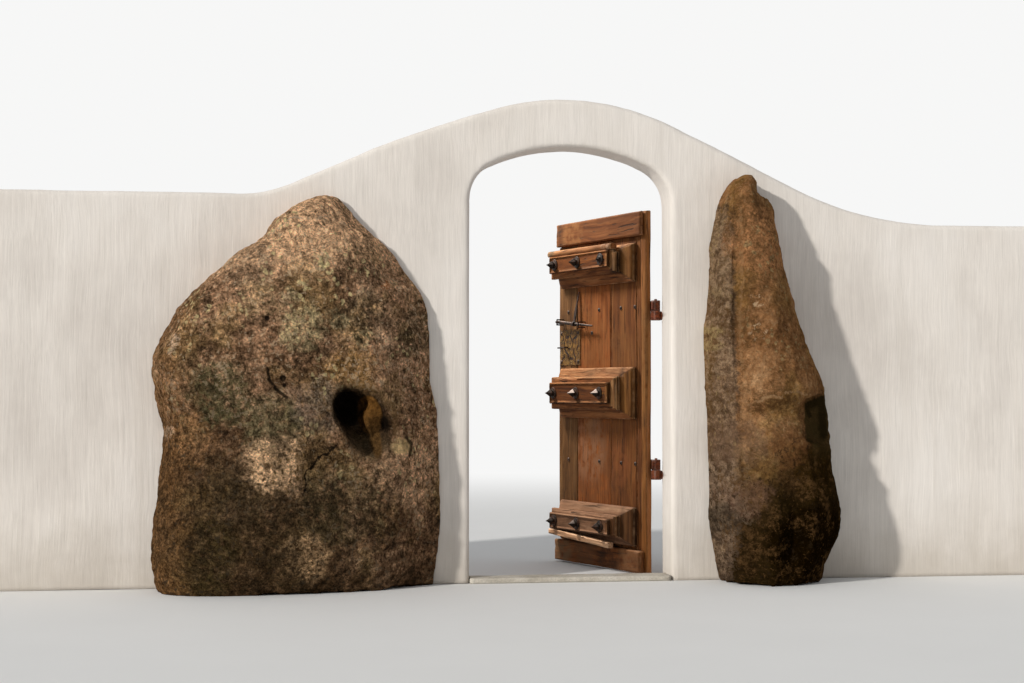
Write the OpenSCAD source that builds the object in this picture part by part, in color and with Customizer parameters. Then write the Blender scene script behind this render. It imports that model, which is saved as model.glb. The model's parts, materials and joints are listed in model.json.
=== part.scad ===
/* [Wall] */
// Thickness of the rendered wall
wall_t = 240; // [200:10:300]
// From the centre of the gateway to the wall's left end
wall_left = 3500; // [2600:50:4500]
// From the centre of the gateway to the wall's right end
wall_right = 3100; // [2600:50:4500]
// Masonry between the crown of the arch and the crown of the top
crown_cover = 260; // [200:5:400]
// Fall of the top from its crown to the far left
left_drop = 535; // [450:5:600]
// Fall of the top from its crown to the far right
right_drop = 650; // [550:5:700]
// The crown's place left of the gateway's centre
crown_shift = 35; // [0:5:80]
// Radius of the crown on its left
crown_left_r = 1250; // [1000:50:1500]
// Radius of the crown on its right
crown_right_r = 1450; // [1200:50:1600]
// Slope at which the left crown passes into the flank, in degrees
crown_left_slope = 16.2; // [14:0.1:18]
// Radius of the bowed left flank
flank_left_r = 7000; // [5000:500:8000]
// Steepest slope on the left, in degrees
left_slope = 23.75; // [22:0.25:26]
// Steepest slope on the right, in degrees
right_slope = 25.6; // [24:0.1:28]
// Radius of the hollow where the left flank meets the top
left_foot_r = 620; // [400:20:900]
// Radius of the hollow where the right flank meets the top
right_foot_r = 1950; // [1500:50:2100]
// Rounding of the render along every arris
arris_r = 28; // [15:1:35]

/* [Opening] */
// Clear width between the jambs
opening_w = 1100; // [1080:10:1200]
// Height at which the arch springs
spring_z = 2050; // [2040:5:2100]
// Rise of the arch above its springing
arch_rise = 295; // [270:5:320]
// Radius of the tight haunches of the arch
haunch_r = 220; // [180:5:240]
// Width of the masonry kept beside the opening
jamb_w = 400; // [300:10:450]
// Height of the threshold stone
sill_h = 30; // [20:1:35]
// Clearance between the threshold stone and the closed door
sill_gap = 9; // [5:1:20]
// How far the threshold stone stands in front of the wall
sill_front = 10; // [0:1:30]
// Chamfer of the threshold stone's upper edges
sill_chamfer = 6; // [2:1:10]

/* [Boulders] */
// Height of the left boulder
left_stone_h = 2052; // [1800:4:2200]
// Width of the left boulder
left_stone_w = 1500; // [1200:20:1520]
// Depth of the left boulder in front of the wall
left_stone_depth = 490; // [400:10:600]
// From the centre of the gateway to the left boulder
left_stone_from = 708; // [650:2:800]
// Height of the right boulder
right_stone_h = 2192; // [1900:4:2300]
// Width of the right boulder
right_stone_w = 724; // [600:4:800]
// Depth of the right boulder in front of the wall
right_stone_depth = 470; // [400:10:600]
// From the centre of the gateway to the right boulder
right_stone_from = 731; // [650:1:800]
// Half width of the hole in the left boulder
hole_r = 92; // [70:2:110]
// Depth of the hole in the left boulder
hole_depth = 240; // [180:10:260]

/* [Door leaf] */
// How far the door stands open, in degrees from closed
door_open = 71; // [0:1:110]
// Clearance between the leaf's free edge and the left jamb
free_gap = 12; // [8:1:40]
// Clearance under the leaf
leaf_bottom = 10; // [8:1:30]
// From the springing of the arch down to the leaf's upper edge
head_gap = 15; // [10:1:40]
// Thickness of the planks
plank_t = 28; // [24:1:34]
// Width of the hinge stile
stile_w = 57; // [48:1:66]
// How far the hinge stile stands proud of the planks
stile_proud = 5; // [3:1:9]
// From the leaf's edge to the ends of the rails that lap over the stile
rail_from = 23; // [12:1:32]
// Height of the top rail
top_rail_h = 137; // [110:1:150]
// How far the top rail stands proud of the planks
top_rail_proud = 20; // [12:1:26]
// Height of the bottom rail
bottom_rail_h = 125; // [100:1:130]
// How far the bottom rail stands proud of the planks
bottom_rail_proud = 30; // [20:1:34]
// How far the bottom rail runs past the free edge
bottom_rail_past = 6; // [0:1:8]
// Width of the first plank beside the stile
plank_1_w = 52; // [40:1:80]
// Width of the second plank
plank_2_w = 285; // [250:5:300]
// Width of the third plank
plank_3_w = 390; // [340:5:400]
// Open joint between two planks
plank_gap = 2; // [1:0.5:4]

/* [Hinges] */
// From the jamb to the hinge axis
axis_inset = 34; // [33:1:38]
// From the wall's back face to the hinge axis
axis_setback = 25; // [18:1:30]
// From the hinge axis to the leaf's edge
hinge_gap = 46; // [36:1:50]
// From the bolt bar up to the middle of the upper strap
upper_strap_rise = 55; // [40:1:70]
// From the leaf's lower edge to the middle of the lower strap
lower_strap_rise = 607; // [540:1:700]
// Height of a strap and of its eye
strap_h = 58; // [45:1:65]
// Height of a strap at its tip
strap_tip_h = 34; // [25:1:45]
// Thickness of a strap
strap_t = 6; // [4:1:8]
// A strap stops this far short of the free edge
strap_short = 70; // [50:5:100]
// Outer radius of a strap's eye
eye_r = 25; // [18:1:27]
// Radius of a hinge pin
pin_r = 8; // [6:0.5:9]
// Running clearance of a pin in its eye
pin_play = 0.05; // [0.02:0.01:0.1]
// Radius of the boss that carries a strap
boss_r = 28; // [20:1:28]
// Height of the boss that carries a strap
boss_h = 52; // [40:1:60]
// Gap between a boss and the eye above it
boss_gap = 1; // [0.5:0.5:2]
// How far a pin stands out above its eye
pin_past = 8; // [4:1:15]
// Length of a shank inside the jamb
shank_len = 90; // [60:5:120]
// Radius of a shank
shank_r = 10; // [8:1:12]
// Clearance of a shank in its hole
shank_play = 0.5; // [0.2:0.1:1]
// Radius of the plate round a shank
rose_r = 24; // [20:1:26]
// Thickness of the plate round a shank
rose_t = 5; // [3:1:6]

/* [Moulded blocks] */
// Thickness of the first stage of a block at its edge
base_t = 32; // [25:1:40]
// Rise of the first stage from its edge to the second stage
base_hip = 8; // [4:1:12]
// Proud of the first stage: the second stage
moulding_t = 24; // [18:1:30]
// Proud of the second stage: the front panel
panel_t = 18; // [14:1:26]
// Depth of the sunk field in a front panel
field_depth = 6; // [3:1:9]
// Width of the rim round a sunk field
rim_w = 11; // [8:1:12]
// From the leaf's edge to the first stage
base_from = 104; // [85:1:120]
// From the leaf's edge to the second stage
moulding_from = 229; // [205:1:250]
// From the leaf's edge to the front panel
panel_from = 297; // [270:1:320]
// The first stage stops this far short of the free edge
base_short = 58; // [30:1:80]
// The second stage stops this far short of the free edge
moulding_short = 8; // [4:1:20]
// The front panel stops this far short of the free edge
panel_short = 16; // [8:1:30]
// Gap between the top rail and the upper block
upper_block_gap = 36.5; // [28:0.5:50]
// Height of the upper block's first stage
upper_base_h = 221; // [200:1:230]
// Height of the upper block's second stage
upper_moulding_h = 135; // [125:1:140]
// Height of the upper block's front panel
upper_panel_h = 102; // [95:1:110]
// The upper block's front panel stands this far above its middle
upper_panel_rise = 33; // [25:1:38]
// Radius of the roll on top of the upper block
cap_r = 22; // [18:1:24]
// From the leaf's edge to the end of the roll
cap_from = 261; // [250:1:280]
// Gap between the lock plate and the middle block
middle_block_gap = 17.5; // [10:0.5:40]
// Height of the middle block's first stage
middle_base_h = 296; // [270:1:310]
// Height of the middle block's second stage
middle_moulding_h = 194; // [180:1:205]
// Height of the middle block's front panel
middle_panel_h = 128; // [115:1:140]
// Gap between the bottom rail and the lower block
lower_block_gap = 19; // [8:1:40]
// Height of the lower block's first stage
lower_base_h = 220; // [200:1:225]
// Height of the lower block's second stage
lower_moulding_h = 124; // [118:1:130]
// How far the lower block's second stage shows under its front panel
lower_moulding_past = 2; // [1:0.5:4]
// Height of the lower block's front panel
lower_panel_h = 96; // [90:1:100]
// The lower block's front panel stands this far below its middle
lower_panel_drop = 15; // [10:1:18]
// Height of the trim that has broken loose
trim_h = 34; // [24:1:36]
// Slope at which the loose trim hangs, in degrees
trim_slope = 3; // [2:0.5:4]
// Length of the loose trim that still bears on the block
trim_hold = 60; // [40:5:90]

/* [Iron spikes] */
// Radius of a spike's foot
spike_r = 36; // [30:1:37]
// Height of a spike's flat foot
spike_foot_h = 6; // [4:1:10]
// Height of a spike's point above its foot
spike_h = 54; // [40:1:60]
// Radius of a spike's blunt point
spike_tip_r = 1.5; // [1:0.5:3]
// From the front panel's end to the spike nearest the hinges
spike_inset = 97; // [80:1:115]
// From the front panel's end to the spike nearest the free edge
spike_outer_inset = 56; // [52:1:70]
// How far the upper spikes sit nearer the hinges, and the middle ones nearer the free edge
spike_shift = 8; // [0:1:9]

/* [Nails] */
// Radius of a nail head
nail_r = 12; // [8:1:14]
// Height of a nail head
nail_h = 7; // [4:1:8]
// From the free edge to a row's last nail
last_nail_inset = 115; // [100:5:130]
// From the free edge to the lone nail beside the lock
lone_nail_inset = 396; // [380:2:410]
// From the bolt bar down to the lone nail
lone_nail_drop = 78; // [60:1:100]

/* [Lock] */
// Width of the lock plate
plate_w = 248; // [200:1:252]
// Height of the lock plate
plate_h = 215; // [190:1:220]
// Thickness of the lock plate
plate_t = 3; // [2:0.5:4]
// Gap between the bolt bar's outer end and the lock plate
plate_gap = 50.5; // [40:0.5:60]
// The lock plate stops this far short of the free edge
plate_short = 14; // [6:1:20]
// From a lock plate's edge to its nails
plate_nail_inset = 22; // [16:1:30]
// Radius of the bolt bar
bolt_r = 10; // [8:0.5:11]
// From the planks to the bolt bar's axis
bolt_standoff = 30; // [26:1:34]
// Length of the bolt bar
bolt_len = 440; // [400:1:450]
// The bolt bar's end stops this far short of the free edge
bolt_short = 14; // [6:1:20]
// Gap between the upper block and the raised hasp
hasp_gap = 23; // [15:1:60]
// Rise of the bolt bar towards the free edge, in degrees
bolt_rise = 5; // [3:0.5:6]
// Travel of the bolt bar
bolt_throw = 80; // [60:1:82]
// Radius of the rod of a bolt guide
guide_rod_r = 4; // [3:0.5:5]
// Clearance between a guide and the bolt bar
guide_play = 1.5; // [1:0.5:3]
// From the free edge to the outer guide
outer_guide_from = 55; // [45:1:65]
// From the free edge to the inner guide
inner_guide_from = 315; // [305:1:325]
// Radius of the socket for the bolt in the left jamb
socket_r = 20; // [16:1:24]
// Depth of the socket for the bolt
socket_depth = 60; // [45:1:80]
// From the free edge to the hasp
hasp_from = 235; // [215:1:240]
// Length of the hasp from the bolt bar
hasp_len = 193; // [150:1:200]
// Width of the hasp
hasp_w = 26; // [20:1:30]
// How far the hasp's tip is bent towards the hinges
hasp_bend = 6; // [0:2:20]
// Thickness of the hasp
hasp_t = 5; // [4:0.5:6]
// Lean of the raised hasp towards the door, in degrees
hasp_lean = 7; // [3:0.5:7]
// From the free edge to the middle of the pull
pull_from = 75; // [70:1:80]
// Width of the pull between its feet
pull_w = 80; // [60:1:84]
// How far the pull stands out
pull_out = 26; // [20:1:32]
// Radius of the rod of the pull
pull_rod_r = 4; // [3:0.5:5]

/* [Hidden] */
$fn = 48;

plaster = "antiquewhite";
granite = "rosybrown";
timber = "sienna";
grey_timber = "darkkhaki";
iron = "dimgray";
brass = "darkgoldenrod";

half_w = opening_w / 2;
front_y = -wall_t / 2;
axis_x = half_w - axis_inset;
axis_y = wall_t / 2 - axis_setback;
leaf_w = opening_w - axis_inset - hinge_gap - free_gap;
leaf_top = spring_z - head_gap;
free_edge = hinge_gap + leaf_w;
face = plank_t;
cut_past = 3 * arris_r;
sill_back = axis_y - face - bottom_rail_proud - sill_gap;
crown_z = spring_z + arch_rise + crown_cover;
left_top_z = crown_z - left_drop;
right_top_z = crown_z - right_drop;

// Heights on the leaf, from its top rail down and from its bottom rail up
function around(z, h) = [z - h / 2, z + h / 2];
plank_bottom = leaf_bottom + bottom_rail_h;
plank_top = leaf_top - top_rail_h;
upper_block_z = plank_top - upper_block_gap - upper_base_h / 2;
hasp_top_z = upper_block_z - upper_base_h / 2 - hasp_gap;
bolt_z = hasp_top_z - hasp_len * cos(hasp_lean) + (hasp_from - bolt_short) * sin(bolt_rise);
upper_strap_z = bolt_z + upper_strap_rise;
lower_strap_z = leaf_bottom + lower_strap_rise;
plate_z = bolt_z - plate_gap - plate_h / 2;
middle_block_z = plate_z - plate_h / 2 - middle_block_gap - middle_base_h / 2;
lower_block_z = plank_bottom + lower_block_gap + lower_base_h / 2;

// Points along an arc of a circle round c, from angle a0 to angle a1
function arc(c, r, a0, a1, n) =
    [for (i = [0:n]) let (a = a0 + (a1 - a0) * i / n) c + r * [cos(a), sin(a)]];

// The sweeping top of the wall, from left to right
crown_l = [-crown_shift, crown_z - crown_left_r];
crown_r = [-crown_shift, crown_z - crown_right_r];
flank_c = crown_l + (crown_left_r - flank_left_r) * [-sin(crown_left_slope), cos(crown_left_slope)];
left_end = flank_c + flank_left_r * [-sin(left_slope), cos(left_slope)];
right_end = crown_r + crown_right_r * [sin(right_slope), cos(right_slope)];
function foot_run(top_z, low_z, r, slope) =
    r * sin(slope) + (top_z - low_z - r * (1 - cos(slope))) / tan(slope);
left_foot = [left_end[0] - foot_run(left_end[1], left_top_z, left_foot_r, left_slope),
    left_top_z + left_foot_r];
right_foot = [right_end[0] + foot_run(right_end[1], right_top_z, right_foot_r, right_slope),
    right_top_z + right_foot_r];
top_line = concat(
    [[-2 * wall_left, left_top_z]],
    arc(left_foot, left_foot_r, 270, 270 + left_slope, 24),
    arc(flank_c, flank_left_r, 90 + left_slope, 90 + crown_left_slope, 24),
    arc(crown_l, crown_left_r, 90 + crown_left_slope - 1, 91, 24),
    arc(crown_r, crown_right_r, 90, 90 - right_slope, 24),
    arc(right_foot, right_foot_r, 270 - right_slope, 270, 24),
    [[2 * wall_right, right_top_z]]);

// The three-centred arch over the opening, from left to right
haunch_x = half_w - haunch_r;
arch_r = (pow(haunch_x, 2) + pow(arch_rise, 2) - pow(haunch_r, 2)) / (2 * (arch_rise - haunch_r));
arch_z = spring_z + arch_rise - arch_r;
haunch_a = atan2(spring_z - arch_z, haunch_x);
arch_line = concat(
    arc([-haunch_x, spring_z], haunch_r, 180, 180 - haunch_a, 7),
    arc([0, arch_z], arch_r, 177 - haunch_a, haunch_a + 3, 16),
    arc([haunch_x, spring_z], haunch_r, haunch_a, 0, 7));

// A closed line, drawn clockwise, moved inwards by d
function unit(v) = v / norm(v);
function side(v) = [v[1], -v[0]];
function inset_line(p, d) = [for (i = [0:len(p) - 1])
    let (a = side(unit(p[i] - p[(i + len(p) - 1) % len(p)])), b = side(unit(p[(i + 1) % len(p)] - p[i])))
    p[i] + d * (a + b) / (1 + a * b)];

// Rings of points joined into one closed skin. An end ring is capped from its first point,
// or, where it is paired, point by point between its first half and its second
module skin(rings, paired = false) {
    n = len(rings[0]);
    points = [for (ring = rings) each ring];
    sides = [for (k = [0:len(rings) - 2]) for (i = [0:n - 1]) let (j = (i + 1) % n)
        each [[k * n + j, k * n + i, (k + 1) * n + i], [k * n + j, (k + 1) * n + i, (k + 1) * n + j]]];
    cap = paired ? [for (i = [0:n / 2 - 2]) [i, i + 1, n - 2 - i, n - 1 - i]] : [[for (i = [0:n - 1]) i]];
    far_cap = [for (f = cap) [for (i = [len(f) - 1:-1:0]) (len(rings) - 1) * n + f[i]]];
    polyhedron(points, concat(cap, sides, far_cap));
}

// A slab standing on edge between an upper and a lower line, its arrises rounded
module rounded_slab(upper, lower) {
    steps = 3;
    last = len(lower) - 1;
    line = concat(upper, [for (i = [last:-1:0]) lower[i]]);
    front = [for (k = [0:steps]) let (a = 90 * k / steps)
        [arris_r * (1 - sin(a)), front_y + arris_r * (1 - cos(a))]];
    back = [for (k = [steps:-1:0]) [front[k][0], -front[k][1]]];
    skin([for (f = concat(front, back)) [for (p = inset_line(line, f[0])) [p[0], f[1], p[1]]]], paired = true);
}

// A slab cut square between two places along the wall and two heights
module cut_slab(x, z, upper, lower) intersection() {
    rounded_slab(upper, lower);
    translate([x[0], -wall_t, z[0]]) cube([x[1] - x[0], 2 * wall_t, z[1] - z[0]]);
}

// Part of the wall under its sweeping top, from place to place along it
function top_over(places) = [for (x = places) [x, lookup(x, top_line)]];
module wall_length(x, places)
    cut_slab(x, [0, above], top_over(places), [for (x = places) [x, -cut_past]]);

jamb_x = half_w + jamb_w;
above = crown_z + cut_past;
module left_wall() color(plaster) wall_length([-wall_left, -jamb_x], concat(
    [-wall_left - cut_past],
    [for (x = [left_foot[0] : jamb_step : -jamb_x - 2.5 * cut_past]) x],
    [for (k = [-2:1]) -jamb_x + k * cut_past]));
module right_wall() color(plaster) wall_length([jamb_x, wall_right], concat(
    [for (k = [-1:2]) jamb_x + k * cut_past],
    [for (x = [jamb_x + 3 * cut_past : jamb_step : right_foot[0]]) x],
    [right_foot[0] + jamb_step, wall_right + cut_past]));

// The head: its upper line is wider than the arch, so that the two run evenly side by side
jamb_step = 65;
head_x = jamb_x - 2 * cut_past;
module arch_head() color(plaster) {
    outer = [for (k = [-2:1]) -jamb_x + k * cut_past];
    spread = (head_x - jamb_step / 2) / half_w;
    inner = concat([-head_x], [for (p = arch_line) p[0] * spread], [head_x]);
    feet = [for (x = outer) [x, spring_z - cut_past]];
    arch = concat([[-half_w, spring_z - cut_past]], arch_line, [[half_w, spring_z - cut_past]]);
    cut_slab([-jamb_x, jamb_x], [spring_z, above],
        top_over(concat(outer, inner, [for (i = [3:-1:0]) -outer[i]])),
        concat(feet, arch, [for (i = [3:-1:0]) [-feet[i][0], feet[i][1]]]));
}

// A plain length of wall beside the opening
module jamb(ends) {
    lines = [for (z = [spring_z + cut_past, -cut_past]) [for (x = ends) [x, z]]];
    cut_slab([-jamb_x, jamb_x], [0, spring_z], lines[0], lines[1]);
}
module left_jamb() color(plaster) difference() {
    jamb([-jamb_x - cut_past, -half_w]);
    bolt_socket();
}
module right_jamb() color(plaster) difference() {
    jamb([half_w, jamb_x + cut_past]);
    for (z = [upper_strap_z, lower_strap_z])
        translate([half_w, axis_y, shank_z(z)]) rotate([0, 90, 0])
            cylinder(h = shank_len + shank_play, r = shank_r + shank_play);
}

module threshold() color(granite)
    translate([-half_w, 0, 0]) rotate([90, 0, 90]) linear_extrude(opening_w) polygon([
        [front_y - sill_front, 0],
        [front_y - sill_front, sill_h - sill_chamfer],
        [front_y - sill_front + sill_chamfer, sill_h],
        [sill_back - sill_chamfer, sill_h],
        [sill_back, sill_h - sill_chamfer],
        [sill_back, 0]]);

// Level slices of a boulder, as shares of its height, width, width and depth:
// height, left side, right side, depth
left_slices = [
    [0, 0.02, 0.975, 0.8], [0.05, 0.007, 0.985, 0.92], [0.141, 0, 1, 1], [0.235, 0.018, 0.998, 1],
    [0.336, 0.035, 0.997, 1], [0.4, 0.039, 0.991, 0.99], [0.459, 0.026, 0.982, 0.97],
    [0.517, 0.008, 0.966, 0.95], [0.55, 0, 0.963, 0.94], [0.58, 0.001, 0.962, 0.92],
    [0.61, 0.016, 0.961, 0.9], [0.654, 0.048, 0.959, 0.88], [0.7, 0.08, 0.953, 0.85],
    [0.745, 0.126, 0.935, 0.81], [0.775, 0.17, 0.91, 0.785], [0.802, 0.209, 0.88, 0.755],
    [0.828, 0.247, 0.856, 0.72], [0.852, 0.285, 0.836, 0.685], [0.87, 0.328, 0.815, 0.65],
    [0.885, 0.362, 0.792, 0.62], [0.91, 0.386, 0.752, 0.57], [0.938, 0.408, 0.714, 0.5],
    [0.96, 0.457, 0.687, 0.43], [0.985, 0.518, 0.658, 0.33], [1, 0.564, 0.635, 0.22]];
right_slices = [
    [0, 0.112, 0.848, 0.8], [0.046, 0.08, 0.889, 0.92], [0.104, 0.051, 0.965, 1], [0.164, 0.028, 1, 1.02],
    [0.24, 0.037, 0.962, 1], [0.3, 0.028, 0.931, 0.98], [0.342, 0.021, 0.917, 0.97],
    [0.375, 0.018, 0.908, 0.965], [0.405, 0.015, 0.899, 0.96], [0.435, 0.012, 0.889, 0.955],
    [0.47, 0.009, 0.872, 0.945], [0.524, 0.003, 0.815, 0.92], [0.591, -0.006, 0.735, 0.89],
    [0.632, -0.004, 0.695, 0.87],
    [0.66, 0.014, 0.665, 0.86], [0.733, 0.034, 0.598, 0.82], [0.801, 0.045, 0.553, 0.78],
    [0.861, 0.066, 0.53, 0.74], [0.9, 0.085, 0.524, 0.71], [0.926, 0.1, 0.508, 0.68],
    [0.946, 0.122, 0.455, 0.65], [0.953, 0.135, 0.39, 0.62], [0.965, 0.152, 0.384, 0.6],
    [0.986, 0.195, 0.378, 0.54], [1, 0.24, 0.345, 0.42]];
// Plan of a boulder: share of the width, share of the depth
left_plan = [[0, 0], [-0.003, 0.25], [0.02, 0.55], [0.07, 0.8], [0.16, 0.94], [0.3, 1], [0.46, 0.97],
    [0.6, 0.87], [0.72, 0.73], [0.82, 0.57], [0.87, 0.42], [0.92, 0.28], [0.965, 0.15], [1, 0.05], [1, 0]];
right_plan = [[0, 0], [0.005, 0.26], [0.03, 0.54], [0.07, 0.74], [0.115, 0.83], [0.19, 0.83], [0.36, 1],
    [0.55, 0.98], [0.75, 0.85], [0.9, 0.64], [0.985, 0.42], [1, 0.2], [1, 0]];
// Swells and hollows of a boulder's face, as shares of its width, height, width, height and depth:
// place across, place up, reach across, reach up, how far out
left_forms = [[0.4, 0.31, 0.12, 0.07, 0.05], [0.62, 0.4, 0.1, 0.07, -0.07], [0.82, 0.36, 0.07, 0.045, -0.08],
    [0.3, 0.55, 0.16, 0.12, 0.04], [0.9, 0.09, 0.1, 0.03, -0.06], [0.55, 0.12, 0.25, 0.06, 0.04],
    [0.45, 0.52, 0.05, 0.04, -0.04], [0.74, 0.8, 0.2, 0.08, 0.04], [0.12, 0.38, 0.08, 0.1, -0.04]];
right_forms = [[0.42, 0.405, 0.28, 0.04, -0.07], [0.4, 0.48, 0.3, 0.045, 0.04], [0.5, 0.13, 0.06, 0.12, -0.12],
    [0.3, 0.18, 0.12, 0.1, 0.05], [0.7, 0.2, 0.16, 0.1, 0.09], [0.22, 0.66, 0.1, 0.1, -0.05],
    [0.6, 0.63, 0.2, 0.08, 0.05], [0.75, 0.93, 0.25, 0.02, -0.1]];

// A point of a smooth curve through four points, t from 0 to 1 between the middle two
function between(a, b, c, d, t) =
    0.5 * (2 * b + (c - a) * t + (2 * a - 5 * b + 4 * c - d) * t * t + (3 * b - 3 * c + d - a) * t * t * t);
function smooth_rows(rows, n) = let (last = len(rows) - 1) concat(
    [for (i = [0:last - 1]) for (k = [0:n - 1])
        between(rows[max(i - 1, 0)], rows[i], rows[i + 1], rows[min(i + 2, last)], k / n)],
    [rows[last]]);

function add(v, i = 0) = i == len(v) ? 0 : v[i] + add(v, i + 1);
function swell(forms, u, w) = add([for (f = forms)
    f[4] * exp(-pow((u - f[0]) / f[2], 2) - pow((w - f[1]) / f[3], 2))]);

// A boulder against the wall's front: size gives its width, depth and height
module boulder(slices, plan, forms, size) skin([
    for (s = smooth_rows(slices, 2)) let (w = min(max(s[0], 0), 1)) [
        for (p = smooth_rows(plan, 2)) let (u = p[0], d = max(p[1], 0))
            [size[0] * (s[1] + u * (s[2] - s[1])),
            front_y - size[1] * d * (s[3] + swell(forms, u, w)),
            size[2] * w]]]);

left_stone_size = [left_stone_w, left_stone_depth, left_stone_h];
right_stone_size = [right_stone_w, right_stone_depth, right_stone_h];
module left_boulder() color(granite) difference() {
    translate([-left_stone_from - left_stone_w, 0, 0])
        boulder(left_slices, left_plan, left_forms, left_stone_size);
    stone_hole();
}
module right_boulder() color(granite) difference() {
    translate([right_stone_from, 0, 0])
        boulder(right_slices, right_plan, right_forms, right_stone_size);
    broken_wedge();
}

// A ball of rock: place across from the hole's middle, depth behind the face and height, in hole radii
module ball(x, y, z, r) translate(hole_at + hole_r * [x, y, z]) sphere(r = hole_r * r, $fn = 24);

// The weathered hole runs inwards and up to the left. A rib of rock stands in its mouth on the right
hole_at = [-left_stone_from - 0.29 * left_stone_w, front_y - 0.7 * left_stone_depth, 0.43 * left_stone_h];
module stone_hole() {
    difference() {
        hull() {
            ball(-0.6, -0.2, 0.55, 1.07);
            ball(0.45, 0.1, -0.85, 1.03);
            ball(-0.8, hole_depth / hole_r - 0.6, 0.9, 0.6);
            ball(0.5, hole_depth / hole_r - 0.7, 0.2, 0.6);
        }
        hull() {
            ball(0.62, 0.85, 0.72, 0.42);
            ball(0.5, 0.9, -0.35, 0.45);
            ball(0.75, 1.3, -1.3, 0.4);
            ball(0.9, 2.4, 0.3, 0.8);
        }
    }
    hull() {
        ball(1.6, -0.35, -1, 1.15);
        ball(0.4, -0.8, -1.6, 1.1);
    }
}

// A wedge has broken out of the right boulder's side
module broken_wedge() {
    at = [right_stone_from + 0.8 * right_stone_w, front_y - 0.62 * right_stone_depth, 0.41 * right_stone_h];
    reach = right_stone_w / 10;
    corners = [[-1.8, -0.9, 0.8], [-1.5, -0.7, -1.7], [3, 3, 1.5], [3, 3, -2.2],
        [-1.9, -3.6, 0.8], [-1.5, -3.6, -1.7], [3.6, -1.2, 1.5], [3.6, -1.2, -2.2]];
    hull() for (p = corners) translate(at + reach * p) sphere(r = reach * 0.4, $fn = 16);
}

// Heights of a pintle, from the middle of the strap that it carries
function boss_top(z) = z - strap_h / 2 - boss_gap;
function shank_z(z) = boss_top(z) - boss_h / 2;

module pintle(z) {
    translate([axis_x, axis_y, boss_top(z) - boss_h]) cylinder(h = boss_h, r = boss_r);
    translate([axis_x, axis_y, boss_top(z) - boss_h])
        cylinder(h = boss_h + boss_gap + strap_h + pin_past, r = pin_r);
    translate([axis_x, axis_y, shank_z(z)]) rotate([0, 90, 0])
        cylinder(h = axis_inset + shank_len, r = shank_r);
    translate([half_w - rose_t, axis_y, shank_z(z)]) rotate([0, 90, 0]) cylinder(h = rose_t, r = rose_r);
}

module upper_pintle() color(iron) pintle(upper_strap_z);
module lower_pintle() color(iron) pintle(lower_strap_z);

// The leaf's own frame: x from the hinge axis to the free edge, y out of its back face
module on_leaf() translate([axis_x, axis_y, 0]) rotate([0, 0, 180 - door_open]) children();

// A board on the leaf: from and to along x from the leaf's edge, along y, along z
module board(u, n, z) translate([hinge_gap + u[0], n[0], z[0]]) cube([u[1] - u[0], n[1] - n[0], z[1] - z[0]]);

plank_starts = [stile_w, stile_w + plank_1_w, stile_w + plank_1_w + plank_2_w,
    stile_w + plank_1_w + plank_2_w + plank_3_w, leaf_w + plank_gap];

module plank(i) color(i == 3 ? grey_timber : timber) on_leaf()
    board([plank_starts[i], plank_starts[i + 1] - plank_gap], [0, face], [plank_bottom, plank_top]);

module hinge_stile() color(timber) on_leaf()
    board([0, stile_w], [0, face + stile_proud], [leaf_bottom, leaf_top]);
// A rail laps over the stile's front
module rail(past, proud, z) color(timber) on_leaf() difference() {
    board([rail_from, leaf_w + past], [0, face + proud], z);
    board([0, stile_w], [-face, face + stile_proud], [0, spring_z]);
}
module top_rail() rail(0, top_rail_proud, [plank_top, leaf_top]);
module bottom_rail() rail(bottom_rail_past, bottom_rail_proud, [leaf_bottom, plank_bottom]);
module plank_1() plank(0);
module plank_2() plank(1);
module plank_3() plank(2);
module plank_4() plank(3);

module strap(z) color(iron) on_leaf() difference() {
    union() {
        translate([0, 0, z - strap_h / 2]) cylinder(h = strap_h, r = eye_r);
        translate([0, 0, z]) rotate([90, 0, 0]) linear_extrude(strap_t) polygon([
            [0, -strap_h / 2], [0, strap_h / 2],
            [free_edge - strap_short - strap_tip_h / 2, strap_tip_h / 2],
            [free_edge - strap_short, 0],
            [free_edge - strap_short - strap_tip_h / 2, -strap_tip_h / 2]]);
    }
    translate([0, 0, z - strap_h]) cylinder(h = 2 * strap_h, r = pin_r + pin_play);
}
module upper_strap() strap(upper_strap_z);
module lower_strap() strap(lower_strap_z);

// A domed nail head standing on a face at y = n
module nail(u, n, z) {
    dome_r = (pow(nail_r, 2) + pow(nail_h, 2)) / (2 * nail_h);
    translate([hinge_gap + u, n, z]) rotate([-90, 0, 0]) intersection() {
        translate([0, 0, nail_h - dome_r]) sphere(r = dome_r);
        cylinder(h = nail_h, r = nail_r);
    }
}
nail_places = [128, 282, 528, leaf_w - last_nail_inset];
module nail_row(z) on_leaf() for (u = nail_places) nail(u, face, z);
module upper_nails() color(iron) {
    nail_row(upper_strap_z);
    on_leaf() nail(leaf_w - lone_nail_inset, face, bolt_z - lone_nail_drop);
}
module lower_nails() color(iron) nail_row(lower_strap_z);

// A board whose front edges are moulded: steps lists how far it has come out and how far it has stepped in
module moulded_board(u, n, z, steps) translate([hinge_gap, n, 0]) skin([for (s = steps) [
    [u[0] + s[1], s[0], z[1] - s[1]], [u[1] - s[1], s[0], z[1] - s[1]],
    [u[1] - s[1], s[0], z[0] + s[1]], [u[0] + s[1], s[0], z[0] + s[1]]]]);

// The first stage rises from its edge to where the second stage lies on it
module block_base(z, h, top_z, top_h) color(timber) on_leaf() translate([hinge_gap, face, 0]) {
    foot = concat([base_from, leaf_w - base_short], around(z, h));
    top = concat([moulding_from, leaf_w - base_short], around(top_z, top_h));
    skin([for (s = [[0, foot], [base_t, foot], [base_t + base_hip, top]]) let (r = s[1])
        [[r[0], s[0], r[3]], [r[1], s[0], r[3]], [r[1], s[0], r[2]], [r[0], s[0], r[2]]]]);
}
base_out = face + base_t + base_hip;

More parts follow.
